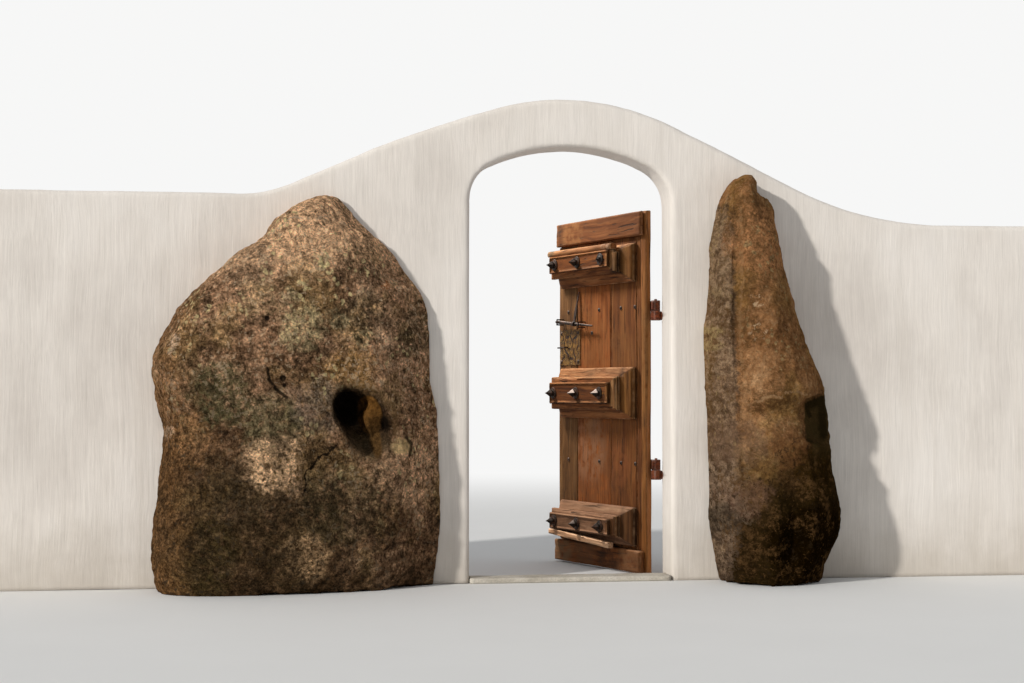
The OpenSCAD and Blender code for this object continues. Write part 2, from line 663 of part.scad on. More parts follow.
// Profile of a second stage, as shares of its thickness: how far out, how far in
moulding_steps = moulding_t * [[0, 0], [0.24, 0], [0.28, 0.12], [0.42, 0.13], [0.48, 0.01], [0.64, 0],
    [0.8, 0.07], [0.9, 0.2], [0.95, 0.36], [1, 0.4]];
module block_moulding(z, h)
    moulded_board([moulding_from, leaf_w - moulding_short], base_out, around(z, h), moulding_steps);

panel_out = base_out + moulding_t + panel_t;
module block_panel(z, h) color(timber) on_leaf() difference() {
    moulded_board([panel_from, leaf_w - panel_short], panel_out - panel_t, around(z, h),
        [[0, 0], [panel_t * 0.7, 0], [panel_t, panel_t * 0.3]]);
    board([panel_from + rim_w, leaf_w - panel_short - rim_w], [panel_out - field_depth, panel_out + panel_t],
        around(z, h - 2 * rim_w));
}

upper_panel_z = upper_block_z + upper_panel_rise;
upper_panel_top = upper_panel_z + upper_panel_h / 2;
upper_moulding_z = upper_panel_top - upper_moulding_h / 2;
lower_panel_z = lower_block_z - lower_panel_drop;
lower_moulding_z = lower_panel_z + (lower_moulding_h - lower_panel_h) / 2 - lower_moulding_past;
module upper_block_base() block_base(upper_block_z, upper_base_h, upper_moulding_z, upper_moulding_h);
// The second stage of the upper block has lost its upper corner at the hinge side
module upper_block_moulding() color(timber) on_leaf() difference() {
    block_moulding(upper_moulding_z, upper_moulding_h);
    board([0, cap_from], [base_out, panel_out], [upper_panel_top - upper_panel_h / 6, leaf_top]);
}
module upper_block_panel() block_panel(upper_panel_z, upper_panel_h);
// The roll is cut flat where it lies on the panel
cap_rise = cap_r * 0.7;
module upper_block_cap() color(timber) on_leaf() difference() {
    translate([hinge_gap + cap_from, panel_out - cap_r, upper_panel_top + cap_rise])
        rotate([0, 90, 0]) cylinder(h = leaf_w - cap_from, r = cap_r);
    board([0, 2 * leaf_w], [0, 2 * panel_out], [0, upper_panel_top]);
}
module middle_block_base() block_base(middle_block_z, middle_base_h, middle_block_z, middle_moulding_h);
module middle_block_moulding() color(timber) on_leaf() block_moulding(middle_block_z, middle_moulding_h);
module middle_block_panel() block_panel(middle_block_z, middle_panel_h);
module lower_block_base() block_base(lower_block_z, lower_base_h, lower_moulding_z, lower_moulding_h);
module lower_block_moulding() color(timber) on_leaf() block_moulding(lower_moulding_z, lower_moulding_h);
module lower_block_panel() block_panel(lower_panel_z, lower_panel_h);
// The trim under the second stage hangs from its end at the free edge, where it still bears on the block
lower_moulding_foot = lower_moulding_z - lower_moulding_h / 2;
trim_size = [leaf_w - moulding_short - panel_from, panel_out - base_out, trim_h];
module lower_block_loose_trim() color(timber) on_leaf() difference() {
    translate([free_edge - moulding_short, base_out, lower_moulding_foot + trim_hold * sin(trim_slope)])
        rotate([0, 180 - trim_slope, 0]) cube(trim_size);
    board([0, 2 * leaf_w], [0, 2 * panel_out], [lower_moulding_foot, leaf_top]);
}

// A spike: a round washer, a neck and a four-sided point
neck_r = spike_r * 0.72;
neck_out = spike_foot_h + spike_h / 4;
spike_out = spike_foot_h + spike_h;
spike_from = panel_from + spike_inset;
spike_step = (leaf_w - panel_short - spike_outer_inset - spike_from) / 2;
module spikes(z, shift) color(iron) on_leaf() for (i = [0:2])
    translate([hinge_gap + spike_from + shift + i * spike_step, panel_out - field_depth, z])
        rotate([-90, 0, 0]) {
            cylinder(h = spike_foot_h, r = spike_r);
            cylinder(h = neck_out, r = neck_r);
            translate([0, 0, neck_out]) cylinder(h = spike_out - neck_out, r1 = neck_r, r2 = spike_tip_r, $fn = 4);
        }
module upper_spikes() spikes(upper_panel_z, -spike_shift);
module middle_spikes() spikes(middle_block_z, spike_shift);
module lower_spikes() spikes(lower_panel_z, 0);

plate_to = leaf_w - plate_short;
module lock_plate() color(brass) on_leaf()
    board([plate_to - plate_w, plate_to], [face, face + plate_t], around(plate_z, plate_h));
module lock_nails() color(iron) on_leaf() {
    for (u = [plate_to - plate_w + plate_nail_inset, plate_to - plate_nail_inset])
        for (z = around(plate_z, plate_h - 2 * plate_nail_inset)) nail(u, face + plate_t, z);
}

module door_pull() color(iron) on_leaf() translate([free_edge - pull_from, face + plate_t, plate_z]) {
    for (x = [-pull_w / 2, pull_w / 2]) translate([x, 0, 0]) rotate([-90, 0, 0])
        cylinder(h = pull_out, r = pull_rod_r);
    translate([-pull_w / 2, pull_out, 0]) rotate([0, 90, 0]) cylinder(h = pull_w, r = pull_rod_r);
    for (x = [-pull_w / 2, pull_w / 2]) translate([x, pull_out, 0]) sphere(r = pull_rod_r);
}

// The bolt's own frame: x along the bar towards the free edge, from the bar's outer end
module on_bolt() on_leaf() translate([free_edge - bolt_short, face + bolt_standoff, bolt_z])
    rotate([0, -bolt_rise, 0]) children();

module bolt_bar() color(iron) on_bolt() {
    translate([-bolt_len, 0, 0]) rotate([0, 90, 0]) cylinder(h = bolt_len - bolt_r, r = bolt_r);
    translate([-bolt_r, 0, 0]) sphere(r = bolt_r);
}

// A guide: two legs out of the planks and a bridge over the bar
guide_clear = bolt_r + guide_play + guide_rod_r;
module guide(from_edge) translate([bolt_short - from_edge, 0, 0]) {
    for (z = [-guide_clear, guide_clear]) translate([0, -bolt_standoff, z]) rotate([-90, 0, 0])
        cylinder(h = bolt_standoff + guide_clear, r = guide_rod_r);
    translate([0, guide_clear, -guide_clear]) cylinder(h = 2 * guide_clear, r = guide_rod_r);
    for (z = [-guide_clear, guide_clear]) translate([0, guide_clear, z]) sphere(r = guide_rod_r);
}
module bolt_guides() color(iron) on_bolt() {
    guide(outer_guide_from);
    guide(inner_guide_from);
}

// The hasp: a collar round the bar and a strap that leans back to the planks.
// Its outline runs up one side and down the other: share of the length, share of the bend, share of the width
collar_r = bolt_r + hasp_t;
hasp_rows = [[0, 0, 1], [0.4, 0, 0.95], [0.5, 0.04, 0.72], [0.62, 0.16, 0.6], [0.76, 0.4, 0.6],
    [0.9, 0.74, 0.5], [1, 1, 0.3]];
function hasp_side(row, sign) = [sign * row[2] * hasp_w / 2 - row[1] * hasp_bend, row[0] * hasp_len];
hasp_outline = concat([for (row = hasp_rows) hasp_side(row, -1)],
    [for (i = [len(hasp_rows) - 1:-1:0]) hasp_side(hasp_rows[i], 1)]);
module hasp_arm() color(iron) on_bolt() translate([bolt_short - hasp_from, 0, 0]) rotate([hasp_lean, 0, 0])
    difference() {
        union() {
            translate([-hasp_w / 2, 0, 0]) rotate([0, 90, 0]) cylinder(h = hasp_w, r = collar_r);
            rotate([90, 0, 0]) linear_extrude(hasp_t, center = true) polygon(hasp_outline);
        }
        translate([-hasp_w, 0, 0]) rotate([0, 90, 0]) cylinder(h = 2 * hasp_w, r = bolt_r + pin_play);
    }

// The hole in the left jamb that takes the thrown bolt when the door is closed
module bolt_socket() {
    translate([-half_w, axis_y - face - bolt_standoff, bolt_z + bolt_throw * sin(bolt_rise)])
        rotate([0, -90, 0]) cylinder(h = socket_depth, r = socket_r);
}

left_wall();
left_jamb();
arch_head();
right_jamb();
right_wall();
threshold();
left_boulder();
right_boulder();
upper_pintle();
lower_pintle();
hinge_stile();
top_rail();
bottom_rail();
plank_1();
plank_2();
plank_3();
plank_4();
upper_strap();
lower_strap();
upper_nails();
lower_nails();
upper_block_base();
upper_block_moulding();
upper_block_panel();
upper_block_cap();
middle_block_base();
middle_block_moulding();
middle_block_panel();
lower_block_base();
lower_block_moulding();
lower_block_panel();
lower_block_loose_trim();
upper_spikes();
middle_spikes();
lower_spikes();
lock_plate();
lock_nails();
door_pull();
bolt_guides();
bolt_bar();
hasp_arm();
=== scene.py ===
import json
import math
from functools import reduce
from itertools import product

import bmesh
import bpy
import numpy as np
from mathutils import Matrix, Vector

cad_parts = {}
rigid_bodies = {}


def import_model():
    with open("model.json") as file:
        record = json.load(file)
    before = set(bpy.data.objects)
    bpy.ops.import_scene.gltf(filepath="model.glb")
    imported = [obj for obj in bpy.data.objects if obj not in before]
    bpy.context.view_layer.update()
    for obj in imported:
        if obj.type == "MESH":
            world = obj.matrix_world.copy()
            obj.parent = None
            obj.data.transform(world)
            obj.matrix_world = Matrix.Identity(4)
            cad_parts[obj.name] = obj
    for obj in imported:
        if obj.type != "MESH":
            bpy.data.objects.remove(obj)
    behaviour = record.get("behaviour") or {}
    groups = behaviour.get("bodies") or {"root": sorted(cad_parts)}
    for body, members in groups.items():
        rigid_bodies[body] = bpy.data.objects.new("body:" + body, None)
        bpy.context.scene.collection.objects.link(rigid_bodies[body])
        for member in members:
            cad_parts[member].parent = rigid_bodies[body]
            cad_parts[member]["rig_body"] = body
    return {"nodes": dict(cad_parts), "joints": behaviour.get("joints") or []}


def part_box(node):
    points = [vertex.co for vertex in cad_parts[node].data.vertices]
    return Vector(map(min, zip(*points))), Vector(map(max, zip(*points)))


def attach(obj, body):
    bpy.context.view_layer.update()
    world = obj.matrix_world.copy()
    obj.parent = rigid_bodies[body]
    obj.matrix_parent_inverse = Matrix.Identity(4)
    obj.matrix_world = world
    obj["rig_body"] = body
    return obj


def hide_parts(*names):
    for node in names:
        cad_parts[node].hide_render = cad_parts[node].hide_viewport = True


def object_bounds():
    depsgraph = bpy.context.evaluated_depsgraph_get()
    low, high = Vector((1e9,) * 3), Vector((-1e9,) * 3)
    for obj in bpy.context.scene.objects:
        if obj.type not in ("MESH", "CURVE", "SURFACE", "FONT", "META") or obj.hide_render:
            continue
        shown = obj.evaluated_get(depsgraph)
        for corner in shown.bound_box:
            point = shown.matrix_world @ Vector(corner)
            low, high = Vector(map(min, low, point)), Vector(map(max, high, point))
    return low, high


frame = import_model()
cad_low, cad_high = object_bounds()
scene = bpy.context.scene
nodes = frame["nodes"]

# Sizes in metres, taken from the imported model
MM = 0.001
JAMB_X = 0.95
SPRING_Z = 2.05
WALL_FRONT = -0.12
HINGE_AXIS = (0.516, 0.095, 0)
LEAF_TURN = math.radians(180 - 71)
STILE_EDGE = 0.0465
PANEL_RIM = 11 * MM
# Points nearer than this are one point, and faces that turn by less than this are one face
SAME_POINT = 0.02 * MM
SAME_FACE = math.radians(0.5)
# What 1 less the largest part of a normal comes to at the corner of a box
CORNER = 0.42

# The leaf's own frame: x from the hinge axis to the free edge, y out of the face that has the blocks
LEAF = Matrix.Translation(HINGE_AXIS) @ Matrix.Rotation(LEAF_TURN, 4, "Z")
WORLD = Matrix.Identity(4)


# ---------- Shapes ----------

def noise(p, seed):
    """Smooth random numbers from -1 to 1 at the rows of p, one cell a unit wide"""
    cell = np.floor(p).astype(np.int64)
    f = p - cell
    f = f * f * (3 - 2 * f)
    total = np.zeros(len(p))
    for corner in product((0, 1), repeat=3):
        c = cell + corner
        h = (c[:, 0] * 374761393 + c[:, 1] * 668265263 + c[:, 2] * 1440662683 + seed * 974634777) & 0xFFFFFFFF
        h = ((h ^ (h >> 13)) * 1274126177) & 0xFFFFFFFF
        value = ((h ^ (h >> 16)) & 0xFFFF) / 32767.5 - 1
        total += value * np.prod(np.where(corner, f, 1 - f), axis=1)
    return total


def fractal(p, seed, octaves):
    """Noise with finer and weaker noise laid over it"""
    return sum(noise(p * 2 ** k, seed + k) / 2 ** k for k in range(octaves))


def joined(names):
    """CAD nodes in one bmesh"""
    bm = bmesh.new()
    for name in names:
        bm.from_mesh(nodes[name].data)
    bmesh.ops.remove_doubles(bm, verts=bm.verts, dist=SAME_POINT)
    return bm


def gathered(names, place=WORLD):
    """CAD nodes in one bmesh in a frame of their own, each flat part one face"""
    bm = joined(names)
    bm.transform(place.inverted())
    bmesh.ops.dissolve_limit(bm, angle_limit=SAME_FACE, verts=bm.verts, edges=bm.edges)
    return bm


def lofted(rings):
    """A closed skin over rings of points, the first and last ring capped"""
    bm = bmesh.new()
    rows = [[bm.verts.new(p) for p in ring] for ring in rings]
    for a, b in zip(rows, rows[1:]):
        for i in range(len(a)):
            j = (i + 1) % len(a)
            bm.faces.new((a[i], a[j], b[j], b[i]))
    bm.faces.new(rows[0][::-1])
    bm.faces.new(rows[-1])
    bmesh.ops.recalc_face_normals(bm, faces=bm.faces)
    return bm


def ring_of(low, high, out, inset=0.0):
    """The corners of a box's outline at a distance out of the leaf"""
    left, right, bottom, top = low[0] + inset, high[0] - inset, low[2] + inset, high[2] - inset
    return [(left, out, top), (right, out, top), (right, out, bottom), (left, out, bottom)]


def cut_grid(bm, steps, through=((), (), ())):
    """Cuts the faces by planes across each axis, a step apart and through stated places"""
    for axis in range(3):
        where = [v.co[axis] for v in bm.verts]
        low, high = min(where), max(where)
        count = int((high - low) / steps[axis]) if steps[axis] else 0
        places = [low + (high - low) * k / (count + 1) for k in range(1, count + 1)]
        normal = Vector([float(k == axis) for k in range(3)])
        for place in places + list(through[axis]):
            bmesh.ops.bisect_plane(bm, geom=bm.verts[:] + bm.edges[:] + bm.faces[:], dist=SAME_POINT / 2,
                                   plane_co=normal * place, plane_no=normal)


def sharp_edges(bm, degrees):
    return [e for e in bm.edges if len(e.link_faces) == 2 and e.calc_face_angle(0) > math.radians(degrees)]


def soften(bm, degrees, size):
    """Rounds the edges that turn by more than some degrees; size in millimetres"""
    bmesh.ops.bevel(bm, geom=sharp_edges(bm, degrees), offset=size * MM, segments=2, affect="EDGES",
                    clamp_overlap=True)


def new_object(name, bm):
    mesh = bpy.data.meshes.new(name)
    bm.to_mesh(mesh)
    bm.free()
    obj = bpy.data.objects.new(name, mesh)
    scene.collection.objects.link(obj)
    return obj


def with_modifier(obj, kind, **settings):
    """Puts a modifier's result into the object's mesh"""
    modifier = obj.modifiers.new(kind, kind)
    for key, value in settings.items():
        setattr(modifier, key, value)
    result = bpy.data.meshes.new_from_object(obj.evaluated_get(bpy.context.evaluated_depsgraph_get()))
    obj.modifiers.clear()
    obj.data = result


def surface(obj):
    """Places and normals of a mesh's vertices"""
    found = []
    for what in ("co", "normal"):
        values = np.empty(len(obj.data.vertices) * 3)
        obj.data.vertices.foreach_get(what, values)
        found.append(values.reshape(-1, 3))
    return found


def set_points(obj, co):
    obj.data.vertices.foreach_set("co", co.ravel())
    obj.data.update()


def set_value(obj, name, values):
    """A number at each vertex that materials read by name"""
    layer = obj.data.attributes.new(name, "FLOAT", "POINT")
    layer.data.foreach_set("value", np.ascontiguousarray(values, dtype=np.float32))


def pushed(co, normal, depth):
    """Points moved out along their normals by a depth in millimetres"""
    return co + normal * (depth * MM)[:, None]


def wear_of(normal):
    """0 on a flat face, towards 1 where edges meet"""
    return np.clip((1 - np.max(np.abs(normal), axis=1)) / CORNER, 0, 1)


def finished(obj, materials, body, replaced, place=WORLD, smooth=True):
    """Moves a piece from its own frame into the model, with its look, its body and the nodes it stands for"""
    obj.data.transform(place)
    obj.data.materials.clear()
    for material in materials:
        obj.data.materials.append(material)
    for polygon in obj.data.polygons:
        polygon.use_smooth = smooth
    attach(obj, body)
    if replaced:
        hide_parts(*replaced)


# ---------- Materials ----------

class Maker:
    """Builds the nodes of one material. Most methods give an output socket; tint, dim and patches work on the
    colour so far. at is a pair of sockets, across and up, that places things in the x-z plane"""

    def __init__(self, owner):
        """owner is a world, or the name of a new material"""
        self.owner = bpy.data.materials.new(owner) if isinstance(owner, str) else owner
        self.owner.use_nodes = True
        self.tree = self.owner.node_tree
        self.shader = self.tree.nodes.get("Principled BSDF")
        self.colour = None

    def feed(self, socket, value):
        if isinstance(value, bpy.types.NodeSocket):
            self.tree.links.new(value, socket)
        else:
            socket.default_value = value

    def add(self, kind, out, inputs, **settings):
        node = self.tree.nodes.new(kind)
        for key, value in settings.items():
            setattr(node, key, value)
        for key, value in inputs.items():
            self.feed(node.inputs[key], value)
        return node.outputs[out]

    def place(self):
        return self.add("ShaderNodeTexCoord", "Object", {})

    def leaf_place(self):
        return self.add("ShaderNodeMapping", "Vector", {"Vector": self.place(), "Location": HINGE_AXIS,
                                                        "Rotation": (0, 0, LEAF_TURN)}, vector_type="TEXTURE")

    def stretch(self, vector, scale):
        return self.add("ShaderNodeVectorMath", "Vector", {0: vector, 1: scale}, operation="MULTIPLY")

    def moved(self, vector, offset):
        return self.add("ShaderNodeVectorMath", "Vector", {0: vector, 1: offset}, operation="ADD")

    def noise(self, vector, scale, detail=3, rough=0.55, distortion=0, out="Fac"):
        """Noise of one scale, or stretched where scale is a tuple"""
        if isinstance(scale, tuple):
            vector, scale = self.stretch(vector, scale), 1
        return self.add("ShaderNodeTexNoise", out, {"Vector": vector, "Scale": scale, "Detail": detail,
                                                    "Roughness": rough, "Distortion": distortion})

    def bent(self, vector, scale, reach, detail=2, rough=0.5):
        """The places shifted by noise, up to reach along each axis"""
        return self.moved(vector, self.stretch(self.noise(vector, scale, detail, rough, out="Color"), reach))

    def cells(self, vector, scale, out="Color"):
        return self.add("ShaderNodeTexVoronoi", out, {"Vector": vector, "Scale": scale})

    def parts(self, vector):
        node = self.tree.nodes.new("ShaderNodeSeparateXYZ")
        self.feed(node.inputs[0], vector)
        return node.outputs

    def math(self, operation, a, b=0, c=0):
        return self.add("ShaderNodeMath", 0, {0: a, 1: b, 2: c}, operation=operation)

    def times(self, *values):
        return reduce(lambda a, b: self.math("MULTIPLY", a, b), values)

    def most(self, *values):
        return reduce(lambda a, b: self.math("MAXIMUM", a, b), values)

    def plus(self, a, b):
        return self.math("ADD", a, b)

    def minus(self, a, b):
        return self.math("SUBTRACT", a, b)

    def times_plus(self, a, b, c):
        return self.math("MULTIPLY_ADD", a, b, c)

    def total(self, *pairs):
        """The sum of the pairs' products"""
        *others, last = pairs
        return reduce(lambda total, pair: self.times_plus(*pair, total), others[::-1], self.times(*last))

    def mask(self, value, low, high):
        """0 below low, 1 above high, smooth between; low may be the larger"""
        return self.add("ShaderNodeMapRange", 0, {0: value, 1: low, 2: high, 3: 0, 4: 1},
                        interpolation_type="SMOOTHSTEP")

    def span(self, value, low, high, start=0, end=1):
        """low where value is start, high where it is end, straight between"""
        return self.add("ShaderNodeMapRange", 0, {0: value, 1: start, 2: end, 3: low, 4: high})

    def mix(self, factor, a, b, blend="MIX"):
        a, b = [(*v, 1) if isinstance(v, tuple) else v for v in (a, b)]
        return self.add("ShaderNodeMix", 2, {0: factor, 6: a, 7: b}, data_type="RGBA", blend_type=blend)

    def tint(self, other, *factors):
        """Turns the colour towards another by the product of the factors"""
        self.colour = self.mix(self.times(*factors), self.colour, other)

    def shade(self, colour, amount):
        """A colour times a grey"""
        grey = self.add("ShaderNodeCombineColor", 0, {0: amount, 1: amount, 2: amount})
        return self.mix(1, colour, grey, "MULTIPLY")

    def dim(self, amount):
        self.colour = self.shade(self.colour, amount)

    def ramp(self, value, places, tones):
        node = self.tree.nodes.new("ShaderNodeValToRGB")
        self.feed(node.inputs[0], value)
        elements = node.color_ramp.elements
        while len(elements) < len(tones):
            elements.new(1)
        for element, place, tone in zip(elements, places, tones):
            element.position = place
            element.color = (*tone, 1)
        return node.outputs[0]

    def value(self, name):
        return self.add("ShaderNodeAttribute", "Fac", {}, attribute_name=name)

    def spot(self, at, x, z, radius, soft=0.25):
        """1 inside a round spot, fading at its rim"""
        dx, dz = self.minus(at[0], x), self.minus(at[1], z)
        away = self.math("SQRT", self.total((dx, dx), (dz, dz)))
        return self.mask(away, radius * (1 + soft), radius * (1 - soft))

    def oval(self, at, x, z, wide, tall, lean=0.0, soft=0.25):
        """1 inside an oval of half sizes wide and tall that leans across as it rises"""
        across, up = at
        round_at = (self.times_plus(up, -lean, across), self.times(up, wide / tall))
        return self.spot(round_at, x - lean * z, z * wide / tall, wide, soft)

    def stroke(self, at, line, width):
        """1 along a line of points"""
        nearest = None
        for (x0, z0), (x1, z1) in zip(line, line[1:]):
            rx, rz = x1 - x0, z1 - z0
            dx, dz = self.minus(at[0], x0), self.minus(at[1], z0)
            share = self.add("ShaderNodeMath", 0, {0: self.total((dx, rx), (dz, rz)), 1: 1 / (rx * rx + rz * rz)},
                             operation="MULTIPLY", use_clamp=True)
            ex, ez = self.times_plus(share, -rx, dx), self.times_plus(share, -rz, dz)
            away = self.math("SQRT", self.total((ex, ex), (ez, ez)))
            nearest = away if nearest is None else self.math("MINIMUM", nearest, away)
        return self.mask(nearest, width, width * 0.3)

    def patches(self, at, spots, edge):
        """Round patches of another tint: x, z, radius, tint, strength"""
        for x, z, radius, tint, strength in spots:
            self.tint(tint, self.spot(at, x, z, radius), edge, strength)

    def bump(self, height, distance, strength=1):
        return self.add("ShaderNodeBump", "Normal", {"Height": height, "Distance": distance, "Strength": strength})

    def done(self, roughness, normal, metallic=0, specular=0.5):
        for name, value in (("Base Color", self.colour), ("Roughness", roughness), ("Normal", normal),
                            ("Metallic", metallic), ("Specular IOR Level", specular)):
            if value is not None:
                self.feed(self.shader.inputs[name], value)
        return self.owner

    def output(self, kind, factor, first, second):
        """Ends a material or world in a mixture of two shaders"""
        join = self.tree.nodes.new("ShaderNodeMixShader")
        for socket, value in zip(join.inputs, (factor, first, second)):
            self.feed(socket, value)
        self.feed(self.tree.nodes[kind + " Output"].inputs["Surface"], join.outputs[0])


def plaster_material():
    """Lime render brushed upwards, a little stained at its foot and where water runs off the top"""
    m = Maker("plaster")
    p = m.place()
    wavy = m.bent(p, 1.7, (0.06, 0.06, 0))
    comb = m.noise(wavy, (150, 150, 5), 2, 0.6)
    strokes = m.noise(wavy, (46, 46, 1.6), 3, 0.6)
    broad = m.noise(m.stretch(p, (1, 1, 0.6)), 1.6, 5, 0.6)
    grit = m.noise(p, 240, 2)
    m.colour = m.ramp(broad, (0.3, 0.5, 0.66), ((0.66, 0.605, 0.55), (0.775, 0.72, 0.66), (0.815, 0.765, 0.71)))
    m.dim(m.span(comb, 0.86, 1.09))
    m.dim(m.span(strokes, 0.9, 1.1))
    streaks = m.noise(p, (9, 9, 0.5), 4, 0.6)
    m.tint((0.62, 0.565, 0.5), m.mask(streaks, 0.52, 0.75), 0.35)
    foot = m.plus(m.parts(p)[2], m.span(m.noise(p, 5, 4), -0.22, 0.22))
    m.tint((0.44, 0.385, 0.315), m.mask(foot, 0.5, -0.1), 0.6)
    height = m.total((comb, 0.6), (strokes, 1.4), (grit, 0.35))
    return m.done(0.93, m.bump(height, 1.6 * MM, 0.75))


def weathered_granite(name, places, tones, contrast, pale, soot, crust, dark_foot, tints, lines):
    """A boulder's material: clouds and tinted patches under grains of many sizes, dark growth, pale flecks and
    rosettes of crust, a darker foot that is damp and painted shadow of plants. dark_foot is where it starts and ends,
    its amount, its slope across and the x it turns at; tints and lines add what one boulder alone has"""
    m = Maker(name)
    p = m.place()
    x, _, z = m.parts(p)
    warped = m.bent(p, 30, (0.03, 0.03, 0.03), 3)
    broad = m.noise(p, 1.9, 3, 0.5)
    middle = m.noise(m.moved(p, (3.3, 1.1, 7.9)), 7.5, 5, 0.65)
    small = m.noise(m.moved(p, (8.2, 5.1, 2.4)), 26, 5, 0.72)
    m.colour = m.ramp(m.minus(m.total((broad, 0.7), (middle, 0.8), (small, 0.9)), 0.7), places, tones)
    olive = m.mask(m.noise(m.moved(p, (1.4, 6.2, 3.8)), 3.1, 5, 0.6), 0.46, 0.62)
    m.tint(m.mix(1, m.colour, (0.93, 1.0, 0.82), "MULTIPLY"), olive)
    ragged = m.noise(m.moved(p, (9.1, 2.2, 5.3)), 38, 4, 0.7)
    patch_x, _, patch_z = m.parts(m.moved(m.bent(p, 8, (0.26, 0.26, 0.26), 5, 0.7), (-0.13, -0.13, -0.13)))
    wobble = m.times(m.minus(m.noise(p, 14, 4, 0.7), 0.5), 0.07)
    foot_dark_from, foot_dark_to, amount, lean, middle_x = dark_foot
    low = m.times_plus(m.minus(x, middle_x), lean, z)
    low = m.plus(low, m.span(m.noise(p, 4, 5, 0.65), -0.45, 0.45))
    # Darker towards the foot: damp, and painted shadow of the plants that stand before the boulder
    m.tint((0.02, 0.012, 0.0035), m.mask(low, foot_dark_from, foot_dark_to), amount)
    tints(m, (patch_x, patch_z), ragged)
    mottle = m.noise(m.moved(p, (6.6, 0.4, 2.9)), 24, 3, 0.65)
    m.dim(m.span(mottle, 1 - 0.6 * contrast, 1 + 0.8 * contrast, 0.35, 0.65))
    spread = m.noise(m.moved(p, (3.1, 7.7, 1.3)), 4.2, 9, 0.78)
    m.tint(soot, m.mask(spread, 0.49, 0.58), m.mask(ragged, 0.38, 0.54), 0.7)
    grain = m.noise(warped, 64, 3, 0.72)
    crystals = m.parts(m.cells(warped, 110))[0]
    m.dim(m.span(grain, 1 - 0.9 * contrast, 1 + 1.1 * contrast, 0.34, 0.66))
    m.dim(m.span(crystals, 1 - 0.45 * contrast, 1 + 0.5 * contrast))
    flecks = m.noise(m.moved(warped, (2.7, 8.8, 4.1)), 36, 4, 0.75)
    flecks = m.plus(flecks, m.span(spread, 0.045, -0.045, 0.4, 0.6))
    light = m.shade(m.mix(0.6, m.colour, pale), m.span(m.mask(low, foot_dark_to + 0.25, foot_dark_from), 0.1, 1))
    m.tint(light, m.mask(flecks, 0.58, 0.63), 0.8)
    m.tint(soot, m.mask(flecks, 0.4, 0.365), 0.75)
    rosette = m.mask(m.cells(warped, 32, "Distance"), 0.46, 0.34)
    chosen = m.mask(m.parts(m.cells(warped, 32))[1], 0.45, 0.5)
    crusted = m.mask(m.noise(m.moved(p, (5.7, 1.2, 8.4)), 4.5, 7, 0.7), 0.53, 0.58)
    scab = m.times(m.times(rosette, chosen), m.times(crusted, m.mask(low, 0.4, 1.2)))
    m.tint(m.shade(crust, m.span(grain, 0.5, 1.5, 0.36, 0.64)), scab, 0.75)
    height = m.total((grain, 1.6), (crystals, 0.2), (scab, 0.2))
    height = lines(m, (x, z), (m.plus(x, wobble), m.minus(z, wobble)), height, ragged)
    height = m.times_plus(m.noise(p, 14, 8, 0.76), 5.5, height)
    return m.done(0.95, m.bump(height, 9 * MM), specular=0)


# Patches of the boulders: x, z, radius, tint, strength
LEFT_DARK = (
    (-1.86, 1.0, 0.16, (0.07, 0.07, 0.032), 0.75), (-1.6, 0.86, 0.15, (0.14, 0.13, 0.065), 0.6),
    (-1.12, 1.42, 0.13, (0.11, 0.078, 0.05), 0.55), (-1.72, 1.68, 0.13, (0.12, 0.08, 0.05), 0.55),
    (-1.76, 0.5, 0.16, (0.05, 0.036, 0.02), 0.55), (-1.25, 0.45, 0.2, (0.075, 0.066, 0.032), 0.45),
    (-1.39, 0.93, 0.14, (0.19, 0.15, 0.115), 0.45), (-0.84, 1.35, 0.13, (0.06, 0.048, 0.026), 0.7),
    (-1.5, 0.3, 0.25, (0.05, 0.035, 0.016), 0.5), (-1.95, 0.2, 0.2, (0.035, 0.028, 0.01), 0.6))
LEFT_PALE = (
    (-1.46, 1.345, 0.12, (0.56, 0.44, 0.23), 0.75), (-1.345, 1.695, 0.04, (0.6, 0.5, 0.25), 0.85),
    (-1.25, 1.37, 0.05, (0.45, 0.35, 0.19), 0.7), (-1.52, 1.52, 0.04, (0.42, 0.33, 0.18), 0.7),
    (-1.13, 1.29, 0.04, (0.4, 0.32, 0.17), 0.7), (-1.66, 1.5, 0.1, (0.4, 0.27, 0.14), 0.5),
    (-1.593, 0.66, 0.14, (0.72, 0.46, 0.26), 0.95), (-1.5, 0.56, 0.06, (0.45, 0.28, 0.16), 0.7),
    (-2.07, 1.27, 0.035, (0.8, 0.6, 0.42), 0.8), (-2.12, 0.82, 0.03, (0.8, 0.6, 0.42), 0.7),
    (-1.86, 1.72, 0.05, (0.7, 0.5, 0.33), 0.6), (-0.76, 0.62, 0.05, (0.5, 0.32, 0.19), 0.7),
    (-1.2, 1.12, 0.13, (0.33, 0.18, 0.065), 0.6), (-0.98, 1.02, 0.08, (0.36, 0.23, 0.11), 0.6),
    (-0.9, 0.6, 0.17, (0.58, 0.35, 0.2), 0.85), (-1.42, 0.2, 0.12, (0.4, 0.25, 0.13), 0.75),
    (-2.0, 0.78, 0.12, (0.33, 0.17, 0.075), 0.6), (-1.25, 1.0, 0.09, (0.36, 0.25, 0.16), 0.4),
    (-1.1, 0.55, 0.12, (0.26, 0.17, 0.085), 0.5))
RIGHT_FACET = (
    (0.75, 1.34, 0.035, (0.44, 0.32, 0.12), 0.6), (0.755, 1.27, 0.03, (0.44, 0.32, 0.12), 0.5),
    (0.74, 1.55, 0.05, (0.35, 0.26, 0.11), 0.4), (0.8, 0.62, 0.12, (0.34, 0.24, 0.16), 0.3),
    (0.8, 0.4, 0.12, (0.34, 0.24, 0.16), 0.4))
